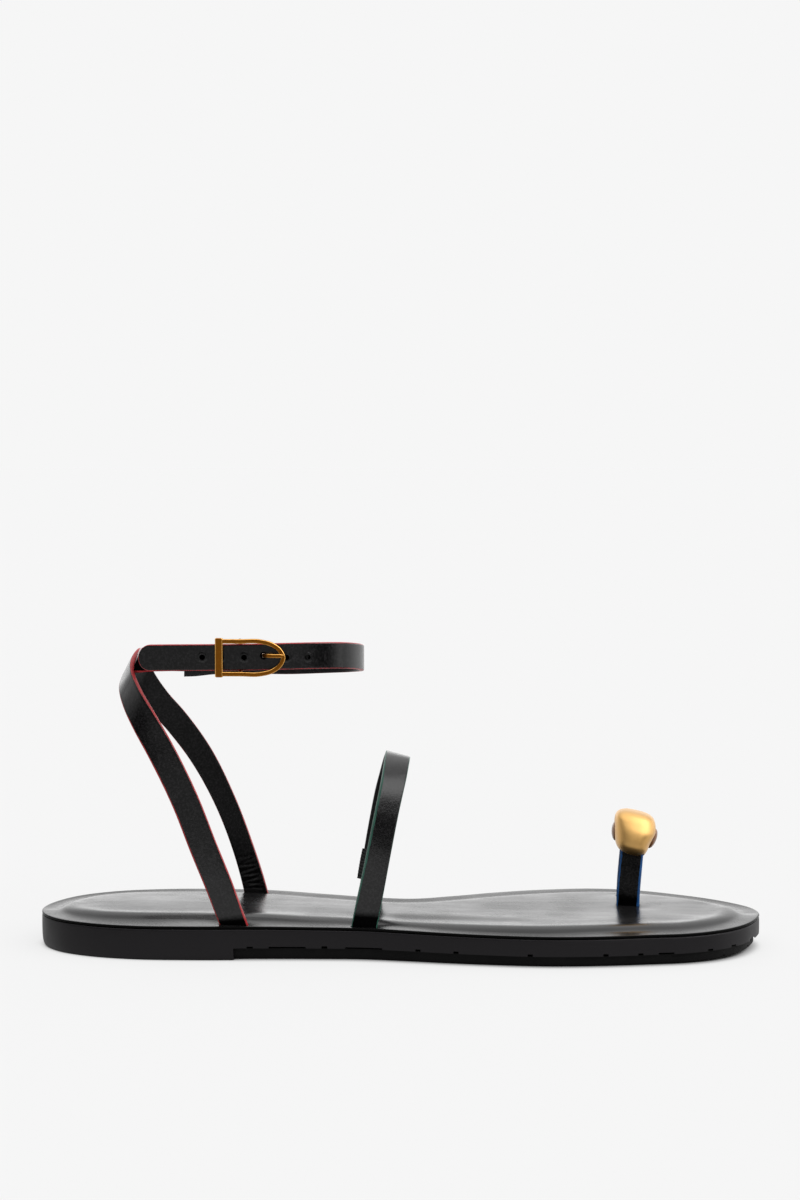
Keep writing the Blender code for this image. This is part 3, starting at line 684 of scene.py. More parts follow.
def make_footbed(edge):
    """Covered insole: thin rounded edge, low rim, soft pillow and strap slots."""
    size = len(edge)
    rings = []
    for share, inset, over, part in FOOTBED_SECTION:
        rings.append(ring(edge, share * edge[:, 3] + inset, edge[:, 2] + over + part * edge[:, 4]))
    verts, faces = ring_mesh(rings, PILLOW_COLUMNS)
    verts = np.array(verts)
    top = verts[size * TOP_ROW:]
    top[:, 2] += soft_lift(top, edge)
    # Painted shade: the rounded outer edge is marked to come out darker and dull, for the shade along the
    # rim's edge.
    outer = np.arange(len(verts)) < size * EDGE_ROWS
    footbed = new_object("footbed_cover", verts, faces, 50.0, {"edge": outer})
    slots = []
    for rows, near, far, thick in ((SLING, SLING[0][5], SLING[-1][5], LEATHER_THICK),
                                   (INSTEP, INSTEP_WIDE, INSTEP_WIDE, LEATHER_THICK),
                                   (TOE_LOOP, TOE_LOOP_WIDE, TOE_LOOP_WIDE, TOE_LOOP_THICK)):
        slots.append(slot_tool(rows, near, thick))
        slots.append(slot_tool(rows[::-1], far, thick))
    return combine(footbed, slots, 'DIFFERENCE', 50.0)


def slot_tool(rows, wide, thick):
    """Body of one strap slot: the strap's own path, a clearance bigger, run on downwards."""
    path = smooth([row[:5] for row in rows[:3]], 6)[:7]
    below = path[0].copy()
    below[:3] += (path[0][:3] - path[1][:3]) / np.linalg.norm(path[0][:3] - path[1][:3]) * 4.0
    path = np.vstack([below, path])
    return stack("slot", sweep(path, round_section(wide + 2 * GAP, thick + 2 * GAP, 0.5, 3)))


def prism_along_y(name, profile):
    """Solid with an XZ profile, run across the sole."""
    near = [(x, -CUT_HALF, z) for x, z in profile]
    far = [(x, CUT_HALF, z) for x, z in profile]
    return stack(name, [near, far])


def make_wall(edge):
    """Side wall and heel block in one, hollowed ahead of the heel, cut along its bottom edge."""
    top = edge[:, 2] - WALL_TOP_UNDER_RIM
    rings = [ring(edge, inset, high) for inset, high in WALL_FOOT]
    rings += [ring(edge, inset, top - deep) for inset, deep in WALL_HEAD]
    wall = new_object("sole_wall", *ring_mesh(rings))
    profile = [(BREAST_X, CUT_LOW), (BREAST_X, UNDERSIDE[0][1])]
    profile += [(x, low) for x, low, tread in UNDERSIDE if x > BREAST_X]
    profile += [(CUT_TOE, UNDERSIDE[-1][1] + 0.6), (CUT_TOE, CUT_LOW)]
    tools = [prism_along_y("wall_hollow", profile)]
    for x, length, high in NOTCHES:
        low = at_x(UNDERSIDE, x, 1)
        half = length / 2
        box = [(x - half, low - 1.0), (x + half, low - 1.0), (x + half - NOTCH_SLOPE, low + high),
               (x - half + NOTCH_SLOPE, low + high)]
        tools.append(prism_along_y("wall_notch", box))
    return combine(wall, tools, 'DIFFERENCE')


def make_tread(edge):
    """Rubber tread from the heel's breast to the toe, with cross grooves and fine lengthwise cuts."""
    rings = [
        ring(edge, TREAD_INSET + TREAD_BEVEL, -1.0),
        ring(edge, TREAD_INSET + TREAD_BEVEL * 0.4, 0.3),
        ring(edge, TREAD_INSET, 1.2),
        ring(edge, TREAD_INSET, 8.0),
    ]
    tread = new_object("tread", *ring_mesh(rings))
    start = BREAST_X + TREAD_GAP
    under = [(start, UNDERSIDE[0][1], UNDERSIDE[0][2])] + [row for row in UNDERSIDE if row[0] > start]
    profile = [(x, low - GAP) for x, low, bottom in under]
    profile += [(x, bottom) for x, low, bottom in under[::-1]]
    combine(tread, [prism_along_y("tread_layer", profile)], 'INTERSECT')
    tools = []
    x = BREAST_X + GROOVE_PITCH * 0.6
    while x < GROOVE_LAST:
        bottom = at_x(UNDERSIDE, x, 2)
        half = GROOVE_WIDE / 2
        box = [(x - half, bottom - 3.0), (x + half, bottom - 3.0), (x + half * 0.6, bottom + GROOVE_DEEP),
               (x - half * 0.6, bottom + GROOVE_DEEP)]
        near = at_x(SOLE, x, 1) + GROOVE_MARGIN
        far = at_x(SOLE, x, 2) - GROOVE_MARGIN
        tools.append(stack("tread_groove", [[(a, side, z) for a, z in box] for side in (near, far)]))
        x += GROOVE_PITCH
    for y in SIPES_Y:
        half = SIPE_WIDE / 2
        rings = []
        for x, low, bottom in under:
            rings.append([(x, y - half, bottom - 2.0), (x, y + half, bottom - 2.0),
                          (x, y + half * 0.6, bottom + SIPE_DEEP), (x, y - half * 0.6, bottom + SIPE_DEEP)])
        rings[0] = [(px - 1.0, py, pz) for px, py, pz in rings[0]]
        tools.append(stack("tread_sipe", rings))
    return combine(tread, tools, 'DIFFERENCE')


# Straps


def round_section(wide, thick, corner, steps, face_spans=1, side_spans=1):
    """Rectangle with rounded corners, in the width and the thickness, its four flats cut into spans."""
    a, b = wide / 2, thick / 2
    c = min(corner, a * 0.95, b * 0.95)
    points = []
    for quarter in range(4):
        cu = (a - c) * (1, -1, -1, 1)[quarter]
        cv = (b - c) * (1, 1, -1, -1)[quarter]
        for k in range(steps + 1):
            angle = pi / 2 * (quarter + k / steps)
            points.append((cu + c * cos(angle), cv + c * sin(angle)))
        u, v = points[-1]
        if quarter % 2 == 0:
            points += [(u - 2 * u * k / face_spans, v) for k in range(1, face_spans)]
        else:
            points += [(u, v - 2 * v * k / side_spans) for k in range(1, side_spans)]
    return points


def directions(stations):
    """Width and face directions at each station, and how far the width slants."""
    along = np.gradient(stations[:, :3], axis=0)
    along /= np.linalg.norm(along, axis=1)[:, None]
    rise, turn = np.radians(stations[:, 3]), np.radians(stations[:, 4])
    across = np.column_stack([np.cos(rise) * np.cos(turn), np.cos(rise) * np.sin(turn), np.sin(rise)])
    face = np.cross(along, across)
    slant = np.linalg.norm(face, axis=1)
    return across, face / slant[:, None], slant


def sweep(stations, section):
    """Rings of one section along stations (x, y, z, rise, turn[, wide, thick])."""
    across, face, slant = directions(stations)
    section = np.array(section)
    rings = []
    for k, row in enumerate(stations):
        size = np.ones(2)
        if len(row) > 5:
            size = row[5:7] / (section.max(0) - section.min(0))
        u = section[:, :1] * size[0] / slant[k]
        v = section[:, 1:2] * size[1]
        rings.append(row[:3] + across[k] * u + face[k] * v)
    return rings


def make_band(name, rows, wide, thick, wraps, creases, pitch=0.6, columns=13, end_round=0.0, rims=(),
              shaded_roots=(6.5, 6.5)):
    """Leather strap with painted edges. paint is 1 at the paint's border and above 1 inside it;
    the second mark is 1 on the dull inner face and 2 on the strap's two ends, over the given lengths, where
    painted shade makes them darker and without sheen."""
    stations, places = even(smooth(rows, STRAP_STEPS), pitch)
    across, face, slant = directions(stations)
    section = np.array(round_section(wide, thick, STRAP_CORNER, 4, columns - 1, 2))
    length = places[-1]
    widths = stations[:, 5] if stations.shape[1] > 5 else np.full(len(stations), wide)
    rings = []
    paint = []
    for k, row in enumerate(stations):
        half = widths[k] / 2
        u = section[:, 0] * widths[k] / wide
        v = section[:, 1].copy()
        wrap = np.where(u < 0, wraps[0], wraps[1])
        mark = np.abs(u) - (half - wrap * np.where(v > thick / 4, INNER_WRAP, 1.0))
        left = length - places[k]
        if left < end_round:
            share = 1.0 - left / end_round
            narrow = (half - end_round * (1 - np.sqrt(max(0.0, 1 - share ** 2)))) / half
            u *= max(narrow, 0.06)
            near = np.hypot(share * end_round, np.maximum(0.0, np.abs(u) - (half - end_round)))
            mark = wrap * (1 - 0.45 * share) - (end_round - near)
        flat = np.sign(v) * (np.abs(v) > thick / 2 - 0.02)
        fade = 1 - (np.abs(u) / half) ** 4
        for place, lift, reach, lean, side in creases:
            start = place if place >= 0 else length + place
            swell = lift * np.exp(-((places[k] - start - lean * u) / reach) ** 2)
            v += swell * fade * side * (flat == side)
        bead = BEAD_HIGH * np.clip(mark / BEAD_RUN, 0.0, 1.0)
        v += np.sign(v) * bead * (np.abs(v) > 0.1)
        ring_points = row[:3] + across[k] * (u / slant[k])[:, None] + face[k] * v[:, None]
        for centre, radius in rims:
            away = np.linalg.norm(ring_points - np.array(centre), axis=1)
            swell = HOLE_RIM_HIGH * np.exp(-((away - radius - HOLE_RIM_OUT) / HOLE_RIM_HALF) ** 2)
            ring_points -= face[k] * (swell * (flat == -1))[:, None]
        rings.append(ring_points)
        paint.append(np.clip(mark + 1.0, 0.0, 2.0))
    # Painted shade: the ends of the strap, where it goes into its slot or under another layer, are marked 2
    # to come out darker and without sheen.
    root = np.clip(np.maximum(shaded_roots[0] - places, shaded_roots[1] - length + places), 0.0, 2.0)
    lining_and_shade = np.maximum(np.repeat(root, len(section)), np.tile(section[:, 1] > thick / 4, len(rings)))
    return stack(name, rings, 60.0, {"paint": np.concatenate(paint), "lining_and_shade": lining_and_shade})


def shade_holes(strap, holes):
    """Mark the strap's points inside its holes as unpainted, and with painted shade: darker and without
    sheen.
    """
    points = np.array([vertex.co for vertex in strap.data.vertices]) / MM
    for key, level in (("paint", 0.0), ("lining_and_shade", 2.0)):
        layer = strap.data.attributes[key]
        values = np.zeros(len(points), np.float32)
        layer.data.foreach_get("value", values)
        for (x, y, z), radius in holes:
            away = np.hypot(points[:, 0] - x, points[:, 2] - z)
            values[(away < radius + 0.02) & (np.abs(points[:, 1] - y) < 2.0)] = level
        layer.data.foreach_set("value", values)


def drum(name, centre, radius, length, axis, sides=24):
    """Cylinder along the x, y or z axis (0, 1 or 2), to cut with."""
    rings = []
    for end in (-0.5, 0.5):
        one = []
        for i in range(sides):
            angle = 2 * pi * (i + 0.5) / sides
            point = [end * length, radius * cos(angle), radius * sin(angle)]
            one.append(np.array(centre) + np.roll(point, axis))
        rings.append(one)
    return stack(name, rings)


def make_ankle_strap():
    """Ankle strap with its punched holes; the outer layer is the tail with a rounded end."""
    tail = smooth(TAIL, STRAP_STEPS)
    holes = [((x, np.interp(x, tail[:, 0], tail[:, 1]), HOLE_Z), HOLE_ROUND) for x in HOLE_X]
    rims = [((x, y - LEATHER_THICK / 2, z), radius) for (x, y, z), radius in holes]
    # Painted shade: the first 28 mm, under the tail and the buckle, come out darker and without sheen.
    strap = make_band("ankle_strap", ANKLE, ANKLE_WIDE, LEATHER_THICK, (0.3, 0.3), ANKLE_CREASES, 0.3, 31,
                      TAIL_END_ROUND, rims, (28.0, 0.0))
    tools = [drum("hole", (x, y - HOLE_OUT, z), radius, HOLE_LONG, 1) for (x, y, z), radius in holes]
    channel = [(*row[:5], row[5] + PRONG_CLEAR, row[6] + PRONG_CLEAR) for row in PRONG[2:7]]
    rings = sweep(smooth(channel, 6), round_section(1.0, 1.0, 0.3, 3))
    tools.append(stack("hole_prong", rings))
    combine(strap, tools, 'DIFFERENCE', 60.0)
    # Painted shade inside the punched holes and the prong's hole.
    holes.append((PRONG_HOLE, PRONG_HOLE_ROUND))
    shade_holes(strap, holes)
    return strap


def make_elastic(name, rows, pitch):
    """Ribbed elastic strip along its path."""
    stations, places = even(smooth(rows, STRAP_STEPS), pitch)
    ribs = 1 + 2 * RIB_HIGH * np.sin(2 * pi * places / RIB_PITCH) / stations[:, 6]
    stations[:, 6] *= ribs
    return stack(name, sweep(stations, round_section(1.0, 1.0, 0.12, 3)), 50.0)


# Buckle and nugget


def corner_marks(section, count):
    """1 on the rounded corners of a wire section, 0 on its flats, for count rings."""
    section = np.array(section)
    size = section.max(0)
    near = np.minimum(np.abs(section[:, 0]) / size[0], np.abs(section[:, 1]) / size[1])
    return np.tile(np.clip((near - 0.72) / 0.12, 0.0, 1.0), count)


def make_wire(name, rows, wide, thick, corner, steps):
    """Metal wire or bar along its path, with its corners marked as worn."""
    stations = smooth(rows, steps)
    section = round_section(wide, thick, corner, 6)
    rings = sweep(stations, section)
    return stack(name, rings, 50.0, {"worn": corner_marks(section, len(rings))})


def lathe(name, centre, profile, sides=32):
    """Ring about a vertical axis from a closed profile of radius and height."""
    verts = []
    for i in range(sides):
        angle = 2 * pi * i / sides
        verts += [np.array(centre) + (r * cos(angle), r * sin(angle), z) for r, z in profile]
    size = len(profile)
    faces = []
    for i in range(sides):
        a, b = i * size, (i + 1) % sides * size
        faces += [(a + k, a + (k + 1) % size, b + (k + 1) % size, b + k) for k in range(size)]
    return new_object(name, verts, faces, 50.0, {"worn": np.zeros(len(verts))})


def merge(name, items):
    """One object from several bodies."""
    solid = bmesh.new()
    for item in items:
        solid.from_mesh(item.data)
    mesh = bpy.data.meshes.new(name)
    solid.to_mesh(mesh)
    solid.free()
    for item in items:
        bpy.data.objects.remove(item, do_unlink=True)
    whole = bpy.data.objects.new(name, mesh)
    bpy.context.scene.collection.objects.link(whole)
    shade(whole, 50.0)
    return whole


def both_halves(rows):
    """Rows of a half, whose last column is the height over the middle, and those of its mirror image."""
    return [*rows, *((*row[:-1], -row[-1]) for row in rows[::-1] if row[-1] != 0.0)]


def make_buckle():
    """Plain frame with its centre bar, and the prong wrapped on the bar."""
    rail = [(x, BUCKLE_Y, BUCKLE_Z + up, 0.0, 90.0) for x, up in both_halves(RAIL_HALF)]
    end_bar = [(END_BAR_X, BUCKLE_Y, BUCKLE_Z + up, 0.0, 0.0, wide, thick)
               for wide, thick, up in both_halves(END_BAR_HALF)]
    centre_bar = [(CENTRE_BAR_X, y, BUCKLE_Z + up, 0.0, 0.0) for y, up in both_halves(CENTRE_BAR_HALF)]
    buckle = merge("buckle", [
        make_wire("rail", rail, RAIL_WIDE, RAIL_THICK, RAIL_CORNER, 10),
        make_wire("end_bar", end_bar, *END_BAR_HALF[-1][:2], END_BAR_CORNER, 3),
        make_wire("centre_bar", centre_bar, WIRE, WIRE, WIRE_CORNER, 8),
    ])
    tongue = make_wire("tongue", PRONG, *PRONG[0][5:], PRONG_CORNER, 8)
    inner = WIRE / 2 + GAP
    half = [(inner, -0.85), (inner + 0.08, -0.95), (PRONG_EYE - 0.12, -0.95), (PRONG_EYE, -0.83)]
    eye = lathe("eye", PRONG_EYE_CENTRE, both_halves(half))
    prong = merge("prong", [tongue, eye])
    return buckle, prong


def make_buckle_elastic():
    """Elastic that carries the buckle, open for the bar and the prong's eye."""
    gore = make_elastic("buckle_elastic", BUCKLE_GORE, 0.12)
    (near, far), (low, high) = SLIT_X, SLIT_Z
    slit = prism_along_y("slit", [(near, low), (far, low), (far, high), (near, high)])
    tunnel = drum("tunnel", (CENTRE_BAR_X, CENTRE_BAR_HALF[-1][0], BUCKLE_Z), WIRE / 2 + GAP, 14.0, 2)
    return combine(gore, [slit, tunnel], 'DIFFERENCE', 50.0)


def make_blob(name, sections, centre, lean, power, around):
    """Solid through superellipse sections (level, half length, half width, shift) on a leaning axis."""
    tilt = radians(lean)
    turn = np.array([[cos(tilt), 0.0, sin(tilt)], [0.0, 1.0, 0.0], [-sin(tilt), 0.0, cos(tilt)]])
    angles = np.arange(around) * 2 * pi / around
    flat = np.column_stack([np.cos(angles), np.sin(angles)])
    flat = np.sign(flat) * np.abs(flat) ** (2 / power)
    rings = []
    for level, long, wide, shift in sections:
        points = np.column_stack([flat[:, 0] * long + shift, flat[:, 1] * wide, np.full(around, level)])
        rings.append(points @ turn.T + np.array(centre))
    return stack(name, rings, 60.0)


def make_dome(name, centre, half, lean, grow):
    """Flattened ellipsoid for an inlay, or for its pocket with grow added."""
    levels = []
    for k in range(1, 24):
        angle = pi * k / 24
        size = sin(angle)
        levels.append((-(half[2] + grow) * cos(angle), (half[0] + grow) * size, (half[1] + grow) * size, 0.0))
    return make_blob(name, levels, centre, lean, 2.0, 40)


def make_nugget():
    """Gold ornament with the toe loop's tunnel and a pocket for each inlay."""
    nugget = make_blob("nugget", smooth(NUGGET, 6), NUGGET_CENTRE, NUGGET_LEAN, NUGGET_SQUARE, 72)
    path = even(smooth(TOE_LOOP, 12), 0.8)[0]
    section = round_section(TOE_LOOP_WIDE + 2 * GAP, TOE_LOOP_THICK + 2 * GAP, 0.5, 3)
    tools = [stack("nugget_tunnel", sweep(path, section))]
    inlays = []
    for name, x, y, z, lean, node in INLAYS:
        inlays.append((make_dome(name, (x, y, z), INLAY_HALF, lean, 0.0), node))
        tools.append(make_dome(name + "_pocket", (x, y, z), INLAY_HALF, lean, GAP * 0.5))
    return combine(nugget, tools, 'DIFFERENCE', 60.0), inlays


# Materials


class Tree:
    """Node tree of a material or of the world, with short ways to add to it."""

    def __init__(self, owner, shader):
        owner.use_nodes = True
        self.owner = owner
        self.nodes = owner.node_tree.nodes
        self.links = owner.node_tree.links
        self.shader = self.nodes[shader]
        self.place = self.add("ShaderNodeTexCoord", {}, "Object")

    def put(self, socket, value):
        """Link a socket, or set it to a number or a colour."""
        if isinstance(value, bpy.types.NodeSocket):
            self.links.new(value, socket)
        elif socket.type == 'RGBA':
            socket.default_value = (*value, 1.0)
        else:
            socket.default_value = value

    def feed(self, key, value):
        """Link or set an input of the shader."""
        self.put(self.shader.inputs[key], value)

    def add(self, kind, values, output, **settings):
        """New node with its settings and inputs; returns one of its outputs."""
        node = self.nodes.new(kind)
        for key, value in settings.items():
            setattr(node, key, value)
        for key, value in values.items():
            self.put(node.inputs[key], value)
        return node.outputs[output]

    def noise(self, scale, detail=3.0, stretch=None):
        """Noise of the given scale per metre, stretched along the axes."""
        place = self.place
        if stretch:
            place = self.add("ShaderNodeMapping", {"Vector": place, "Scale": stretch}, "Vector")
        values = {"Vector": place, "Scale": scale, "Detail": detail, "Roughness": NOISE_ROUGH}
        return self.add("ShaderNodeTexNoise", values, "Fac")

    def cells(self, scale):
        """Distance to the nearest border of small cells, for leather pores."""
        values = {"Vector": self.place, "Scale": scale}
        return self.add("ShaderNodeTexVoronoi", values, "Distance", feature='DISTANCE_TO_EDGE')

    def mark(self, name):
        """The values of that name on the piece's points."""
        return self.add("ShaderNodeAttribute", {}, "Fac", attribute_name=name)

    def spread(self, value, low, high, to_low, to_high):
        """Map a value's range to another, clamped."""
        values = {"Value": value, "From Min": low, "From Max": high, "To Min": to_low, "To Max": to_high}
        return self.add("ShaderNodeMapRange", values, "Result")

    def vary(self, value, to_low, to_high):
        """Map the usual range of a noise to another."""
        return self.spread(value, *NOISE_RANGE, to_low, to_high)

    def calc(self, kind, first, second):
        """One sum, product, minimum or maximum."""
        return self.add("ShaderNodeMath", {0: first, 1: second}, "Value", operation=kind)

    def mix_value(self, share, low, high):
        """Value between two."""
        return self.add("ShaderNodeMix", {"Factor": share, "A": low, "B": high}, "Result", data_type='FLOAT')

    def mix_colour(self, share, low, high):
        """Colour between two; 6, 7 and 2 are the node's colour sockets."""
        return self.add("ShaderNodeMix", {"Factor": share, 6: low, 7: high}, 2, data_type='RGBA')

    def bump(self, *layers):
        """Chain of bumps (height, strength, distance in millimetres)."""
        values = {}
        for height, strength, distance in layers:
            values.update({"Height": height, "Strength": strength, "Distance": distance * MM})
            values["Normal"] = self.add("ShaderNodeBump", values, "Normal")
        self.feed("Normal", values["Normal"])


def new_material(name, colour, roughness, metallic=0.0, specular=0.5, coat=0.0, coat_rough=0.2):
    """Tree of a material with its even values set on the shader."""
    tree = Tree(bpy.data.materials.new(name), "Principled BSDF")
    tree.feed("Base Color", colour)
    tree.feed("Roughness", roughness)
    tree.feed("Metallic", metallic)
    tree.feed("Specular IOR Level", specular)
    tree.feed("Coat Weight", coat)
    tree.feed("Coat Roughness", coat_rough)
    return tree


def strap_leather(name, paint_low, paint_high, gloss=0.35):
    """Black satin leather with fine grain and coloured edge paint; dull where lined or painted, and darker
    without sheen where painted shade is marked.
    """
    tree = new_material(name, (0.003, 0.003, 0.003), 0.18, specular=gloss)
    broad = tree.noise(90.0, 4.0)
    lining_and_shade = tree.mark("lining_and_shade")
    border = tree.calc('ADD', tree.mark("paint"), tree.vary(tree.noise(420.0), -0.07, 0.07))
    painted = tree.spread(border, 0.97, 1.05, 0.0, 1.0)
    speck = tree.spread(tree.noise(1400.0, 2.0), 0.44, 0.7, 0.0, 1.0)
    # Painted shade: the light flecks fade where the mark reaches 2, at the strap's ends and in its holes.
    speck = tree.calc('MULTIPLY', speck, tree.spread(lining_and_shade, 1.0, 2.0, 1.0, 0.1))
    hide = tree.mix_colour(broad, (0.0008, 0.0008, 0.0008), (0.0014, 0.0013, 0.0014))
    hide = tree.mix_colour(speck, hide, (0.011, 0.0104, 0.011))
    colour = tree.mix_colour(tree.vary(tree.noise(260.0), 0.0, 1.0), paint_low, paint_high)
    tree.feed("Base Color", tree.mix_colour(painted, hide, colour))
    dull = tree.calc('MAXIMUM', lining_and_shade, painted)
    rough = tree.calc('ADD', tree.vary(broad, 0.14, 0.2), tree.spread(dull, 0.0, 2.0, 0.0, 0.4))
    tree.feed("Roughness", rough)
    tree.feed("Specular IOR Level", tree.spread(dull, 0.0, 2.0, gloss, 0.0))
    pores = tree.spread(tree.cells(1500.0), 0.0, 0.16, 0.0, 1.0)
    pores = tree.calc('MULTIPLY', pores, tree.spread(painted, 0.0, 1.0, 1.0, 0.15))
    tree.bump((pores, 0.2, 0.05), (tree.noise(1100.0), 0.3, 0.08))
    return tree.owner


def footbed_leather():
    """Smooth black leather with a soft sheen; its outer edge is darker and dull, painted shade along the
    rim's edge.
    """
    tree = new_material("footbed_leather", (0.006, 0.006, 0.006), 0.3, specular=0.36)
    broad = tree.noise(55.0, 5.0)
    streaks = tree.noise(240.0, 4.0, (0.25, 1.0, 1.0))
    edge = tree.mark("edge")
    hide = tree.mix_colour(broad, (0.004, 0.004, 0.0042), (0.009, 0.0087, 0.009))
    # Painted shade: the outer edge gets a darker colour and almost no sheen.
    tree.feed("Base Color", tree.mix_colour(edge, hide, (0.0015, 0.0015, 0.0015)))
    tree.feed("Specular IOR Level", tree.spread(edge, 0.0, 1.0, 0.36, 0.03))
    tree.feed("Roughness", tree.calc('ADD', tree.vary(broad, 0.2, 0.29), tree.vary(streaks, -0.03, 0.03)))
    pores = tree.spread(tree.cells(2600.0), 0.0, 0.14, 0.0, 1.0)
    tree.bump((pores, 0.12, 0.03), (tree.noise(900.0), 0.1, 0.06))
    return tree.owner


def wall_finish():
    """Painted stacked sole edge: black, satin, faint lengthwise lines."""
    tree = new_material("sole_wall", (0.005, 0.004, 0.005), 0.45, specular=0.19)
    broad = tree.noise(70.0, 4.0)
    tree.feed("Base Color", tree.mix_colour(broad, (0.0032, 0.0026, 0.0033), (0.006, 0.005, 0.0061)))
    tree.feed("Roughness", tree.vary(broad, 0.38, 0.52))
    layers = tree.noise(1500.0, 3.0, (0.06, 0.06, 1.0))
    tree.bump((layers, 0.2, 0.05), (tree.noise(2600.0), 0.15, 0.03))
    return tree.owner


def tread_rubber():
    """Matt black rubber with a fine moulded grain."""
    tree = new_material("tread_rubber", (0.002, 0.002, 0.002), 0.7, specular=0.13)
    broad = tree.noise(120.0, 4.0)
    tree.feed("Base Color", tree.mix_colour(broad, (0.0012, 0.0012, 0.0012), (0.0026, 0.0026, 0.0026)))
    tree.feed("Roughness", tree.vary(broad, 0.62, 0.8))
    tree.bump((tree.noise(3000.0), 0.25, 0.05))
    return tree.owner


def elastic_weave():
    """Black ribbed elastic with fine threads."""
    tree = new_material("elastic", (0.012, 0.012, 0.012), 0.75, specular=0.3)
    threads = tree.noise(4200.0, 3.0, (1.0, 1.0, 0.3))
    tree.feed("Base Color", tree.mix_colour(tree.noise(500.0), (0.007, 0.007, 0.007), (0.02, 0.02, 0.021)))
    tree.feed("Roughness", tree.vary(threads, 0.65, 0.85))
    tree.bump((threads, 0.5, 0.06))
    return tree.owner


def nugget_gold():
    """Satin gold with fine brushing and duller patches."""
    tree = new_material("nugget_gold", (0.66, 0.39, 0.12), 0.44, metallic=1.0, coat=0.3, coat_rough=0.35)
    brushed = tree.noise(3200.0, 4.0, (1.0, 1.0, 0.12))
    broad = tree.noise(160.0, 4.0)
    tree.feed("Base Color", tree.mix_colour(broad, (0.58, 0.33, 0.1), (0.7, 0.43, 0.15)))
    tree.feed("Roughness", tree.calc('ADD', tree.vary(broad, 0.4, 0.48), tree.vary(brushed, -0.03, 0.03)))
    tree.bump((brushed, 0.06, 0.02))
    return tree.owner


def inlay_gloss():
    """Glossy brown inlay with cloudy colour."""
    tree = new_material("nugget_inlay", (0.2, 0.09, 0.035), 0.24, coat=0.25, coat_rough=0.1)
    cloud = tree.noise(420.0, 5.0)
    tree.feed("Base Color", tree.mix_colour(cloud, (0.13, 0.05, 0.018), (0.27, 0.12, 0.05)))
    tree.feed("Roughness", tree.vary(cloud, 0.14, 0.24))
    return tree.owner


def buckle_brass():
    """Antique gold: dull dark flats and bright worn corners."""
    tree = new_material("buckle_brass", (0.42, 0.24, 0.05), 0.38, metallic=1.0)
    speck = tree.noise(1500.0, 4.0)
    worn = tree.calc('ADD', tree.mark("worn"), tree.vary(speck, -0.2, 0.12))
    worn = tree.spread(worn, 0.1, 0.6, 0.0, 1.0)
    dull = tree.mix_colour(speck, (0.2, 0.066, 0.005), (0.3, 0.11, 0.01))
    tree.feed("Base Color", tree.mix_colour(worn, dull, (0.95, 0.52, 0.14)))
    tree.feed("Roughness", tree.spread(worn, 0.0, 1.0, 0.42, 0.24))
    tree.bump((speck, 0.15, 0.03))
    return tree.owner


# Studio


def make_floor():
    """Plain pale floor, lit from below like a light table; its glow dims close to the sole, a painted shadow.
    """
    floor = new_object("floor", [(x, y, FLOOR_Z) for x, y in FLOOR_RIM], [tuple(range(len(FLOOR_RIM)))])
    tree = new_material("floor", (FLOOR_PALE, FLOOR_PALE, FLOOR_PALE), 1.0, specular=0.0)
    tree.feed("Emission Color", (1.0, 1.0, 1.0))
    # Painted shadow: the glow fades where the sole hides the sky.
    open_sky = tree.add("ShaderNodeAmbientOcclusion", {"Distance": SHADOW_REACH * MM}, "AO")
    tree.feed("Emission Strength", tree.spread(open_sky, *SHADOW_SKY, 0.0, FLOOR_GLOW))
    floor.data.materials.append(tree.owner)


def make_studio():
    """Soft light: a soft box over the camera, pale surroundings, dark room behind the camera."""
    world = bpy.data.worlds.new("studio")
    bpy.context.scene.world = world
    tree = Tree(world, "Background")
    way = tree.add("ShaderNodeTexCoord", {}, "Generated")
    axes = {axis: tree.add("ShaderNodeSeparateXYZ", {"Vector": way}, axis) for axis in "XYZ"}
    ramp = {name: tree.spread(axes[axis], *levels) for name, axis, *levels in STUDIO_RAMPS}
    pale = tree.calc('ADD', ramp["around"], ramp["overhead"])
    pale = tree.calc('MULTIPLY', pale, ramp["heel side"])
    open_side = tree.calc('MAXIMUM', ramp["behind"], ramp["high"])
    dark = tree.calc('MINIMUM', ramp["dark sideways"], ramp["dark upwards"])
    room = tree.calc('MULTIPLY', pale, tree.mix_value(open_side, dark, 1.0))
    slant = tree.calc('ADD', ramp["slant"], axes["Z"])
    above = tree.spread(slant, *SOFTBOX_EDGE, 0.0, 1.0)
    box = tree.calc('MULTIPLY', above, ramp["front"])
    level = tree.mix_value(box, room, ramp["lamp"])
    seen = tree.add("ShaderNodeLightPath", {}, "Is Camera Ray")
    tree.feed("Color", (1.0, 1.0, 1.0))
    tree.feed("Strength", tree.mix_value(seen, level, BACKGROUND))


def make_camera():
    """Camera at the photograph's place and angle."""
    data = bpy.data.cameras.new("camera")
    data.lens = CAMERA_LENS
    data.sensor_width = 36.0
    data.sensor_fit = 'AUTO'
    data.clip_start = 0.02
    data.clip_end = 120.0
    camera = bpy.data.objects.new("camera", data)
    bpy.context.scene.collection.objects.link(camera)
    camera.location = [c * MM for c in CAMERA_PLACE]
    camera.rotation_euler = (radians(90.0 - CAMERA_DOWN), 0.0, radians(CAMERA_YAW))
    bpy.context.scene.camera = camera


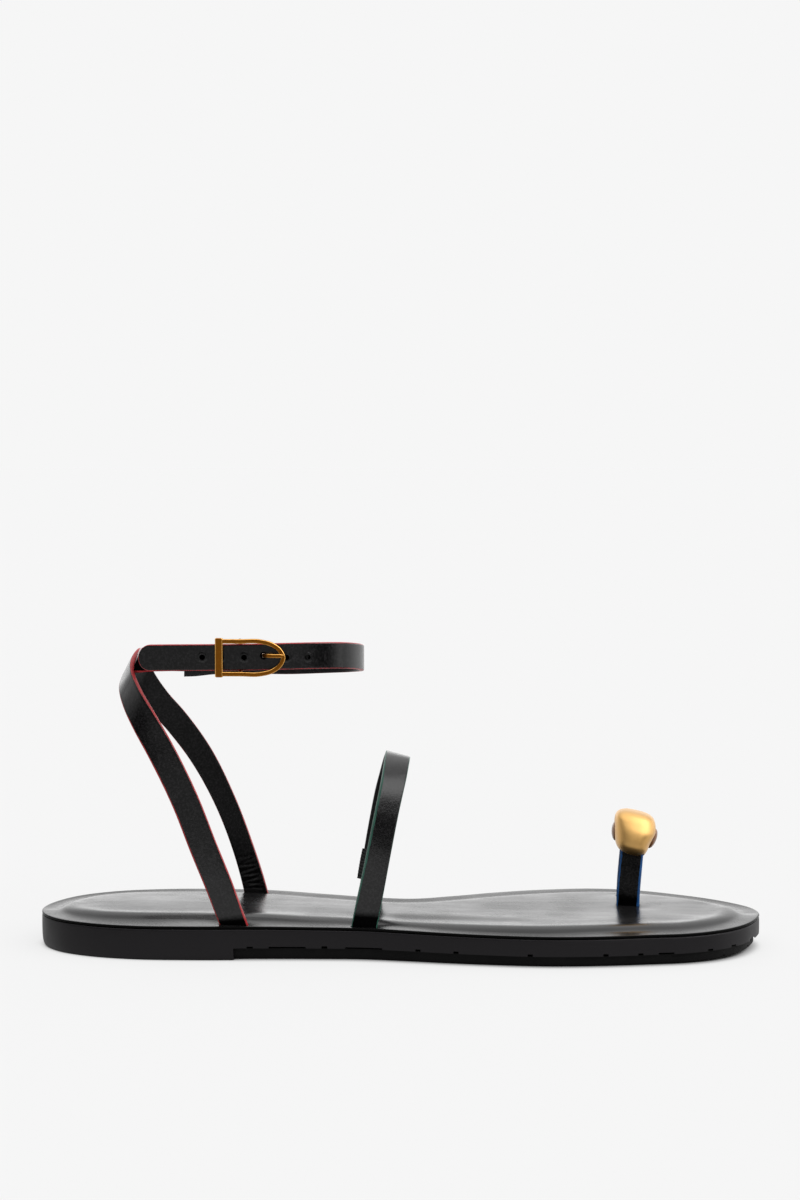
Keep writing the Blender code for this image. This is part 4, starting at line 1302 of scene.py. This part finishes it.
def dress(item, material, slot, *nodes):
    """Give a piece its material and body, and hide the nodes it stands for; slot is not used."""
    item.data.materials.clear()
    item.data.materials.append(material)
    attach(item, "root")
    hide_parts(*nodes)


def main():
    """Build the pieces, the materials, the studio and the camera."""
    view = bpy.context.scene.view_settings
    view.view_transform = 'Standard'
    view.look = 'None'
    make_camera()
    make_studio()
    make_floor()
    edge = sole_sides()
    dress(make_wall(edge), wall_finish(), "sole_wall", "midsole")
    dress(make_tread(edge), tread_rubber(), "tread_rubber", "outsole")
    dress(make_footbed(edge), footbed_leather(), "footbed_leather", "footbed")
    red = strap_leather("strap_leather_red_edge", (0.25, 0.02, 0.024), (0.33, 0.036, 0.038))
    sling = make_band("heel_sling", SLING, SLING[0][5], LEATHER_THICK, (0.5, 0.25), SLING_CREASES, 0.3,
                      shaded_roots=(4.5, 0.0))
    dress(sling, red, "strap_leather_red_edge", "ankle_upper")
    dress(make_ankle_strap(), red, "strap_leather_red_edge", "ankle_upper")
    green = strap_leather("strap_leather_green_edge", (0.016, 0.06, 0.044), (0.028, 0.09, 0.065))
    instep = make_band("instep_band", INSTEP, INSTEP_WIDE, LEATHER_THICK, (0.3, 0.3), INSTEP_CREASES, 0.4)
    dress(instep, green, "strap_leather_green_edge", "instep_strap")
    blue = strap_leather("strap_leather_blue_edge", (0.011, 0.05, 0.15), (0.024, 0.085, 0.23), 0.14)
    toe = make_band("toe_band", TOE_LOOP, TOE_LOOP_WIDE, TOE_LOOP_THICK, (0.65, 0.65), TOE_CREASES, 0.4)
    dress(toe, blue, "strap_leather_blue_edge", "toe_loop")
    elastic = elastic_weave()
    dress(make_buckle_elastic(), elastic, "elastic", "buckle_gore")
    dress(make_elastic("instep_elastic", INSTEP_GORE, 0.12), elastic, "elastic", "instep_gore")
    brass = buckle_brass()
    buckle, prong = make_buckle()
    dress(buckle, brass, "buckle_brass", "buckle_frame")
    dress(prong, brass, "buckle_brass", "buckle_prong")
    nugget, inlays = make_nugget()
    dress(nugget, nugget_gold(), "nugget_gold", "toe_nugget")
    gloss = inlay_gloss()
    for inlay, node in inlays:
        dress(inlay, gloss, "nugget_inlay", node)


main()
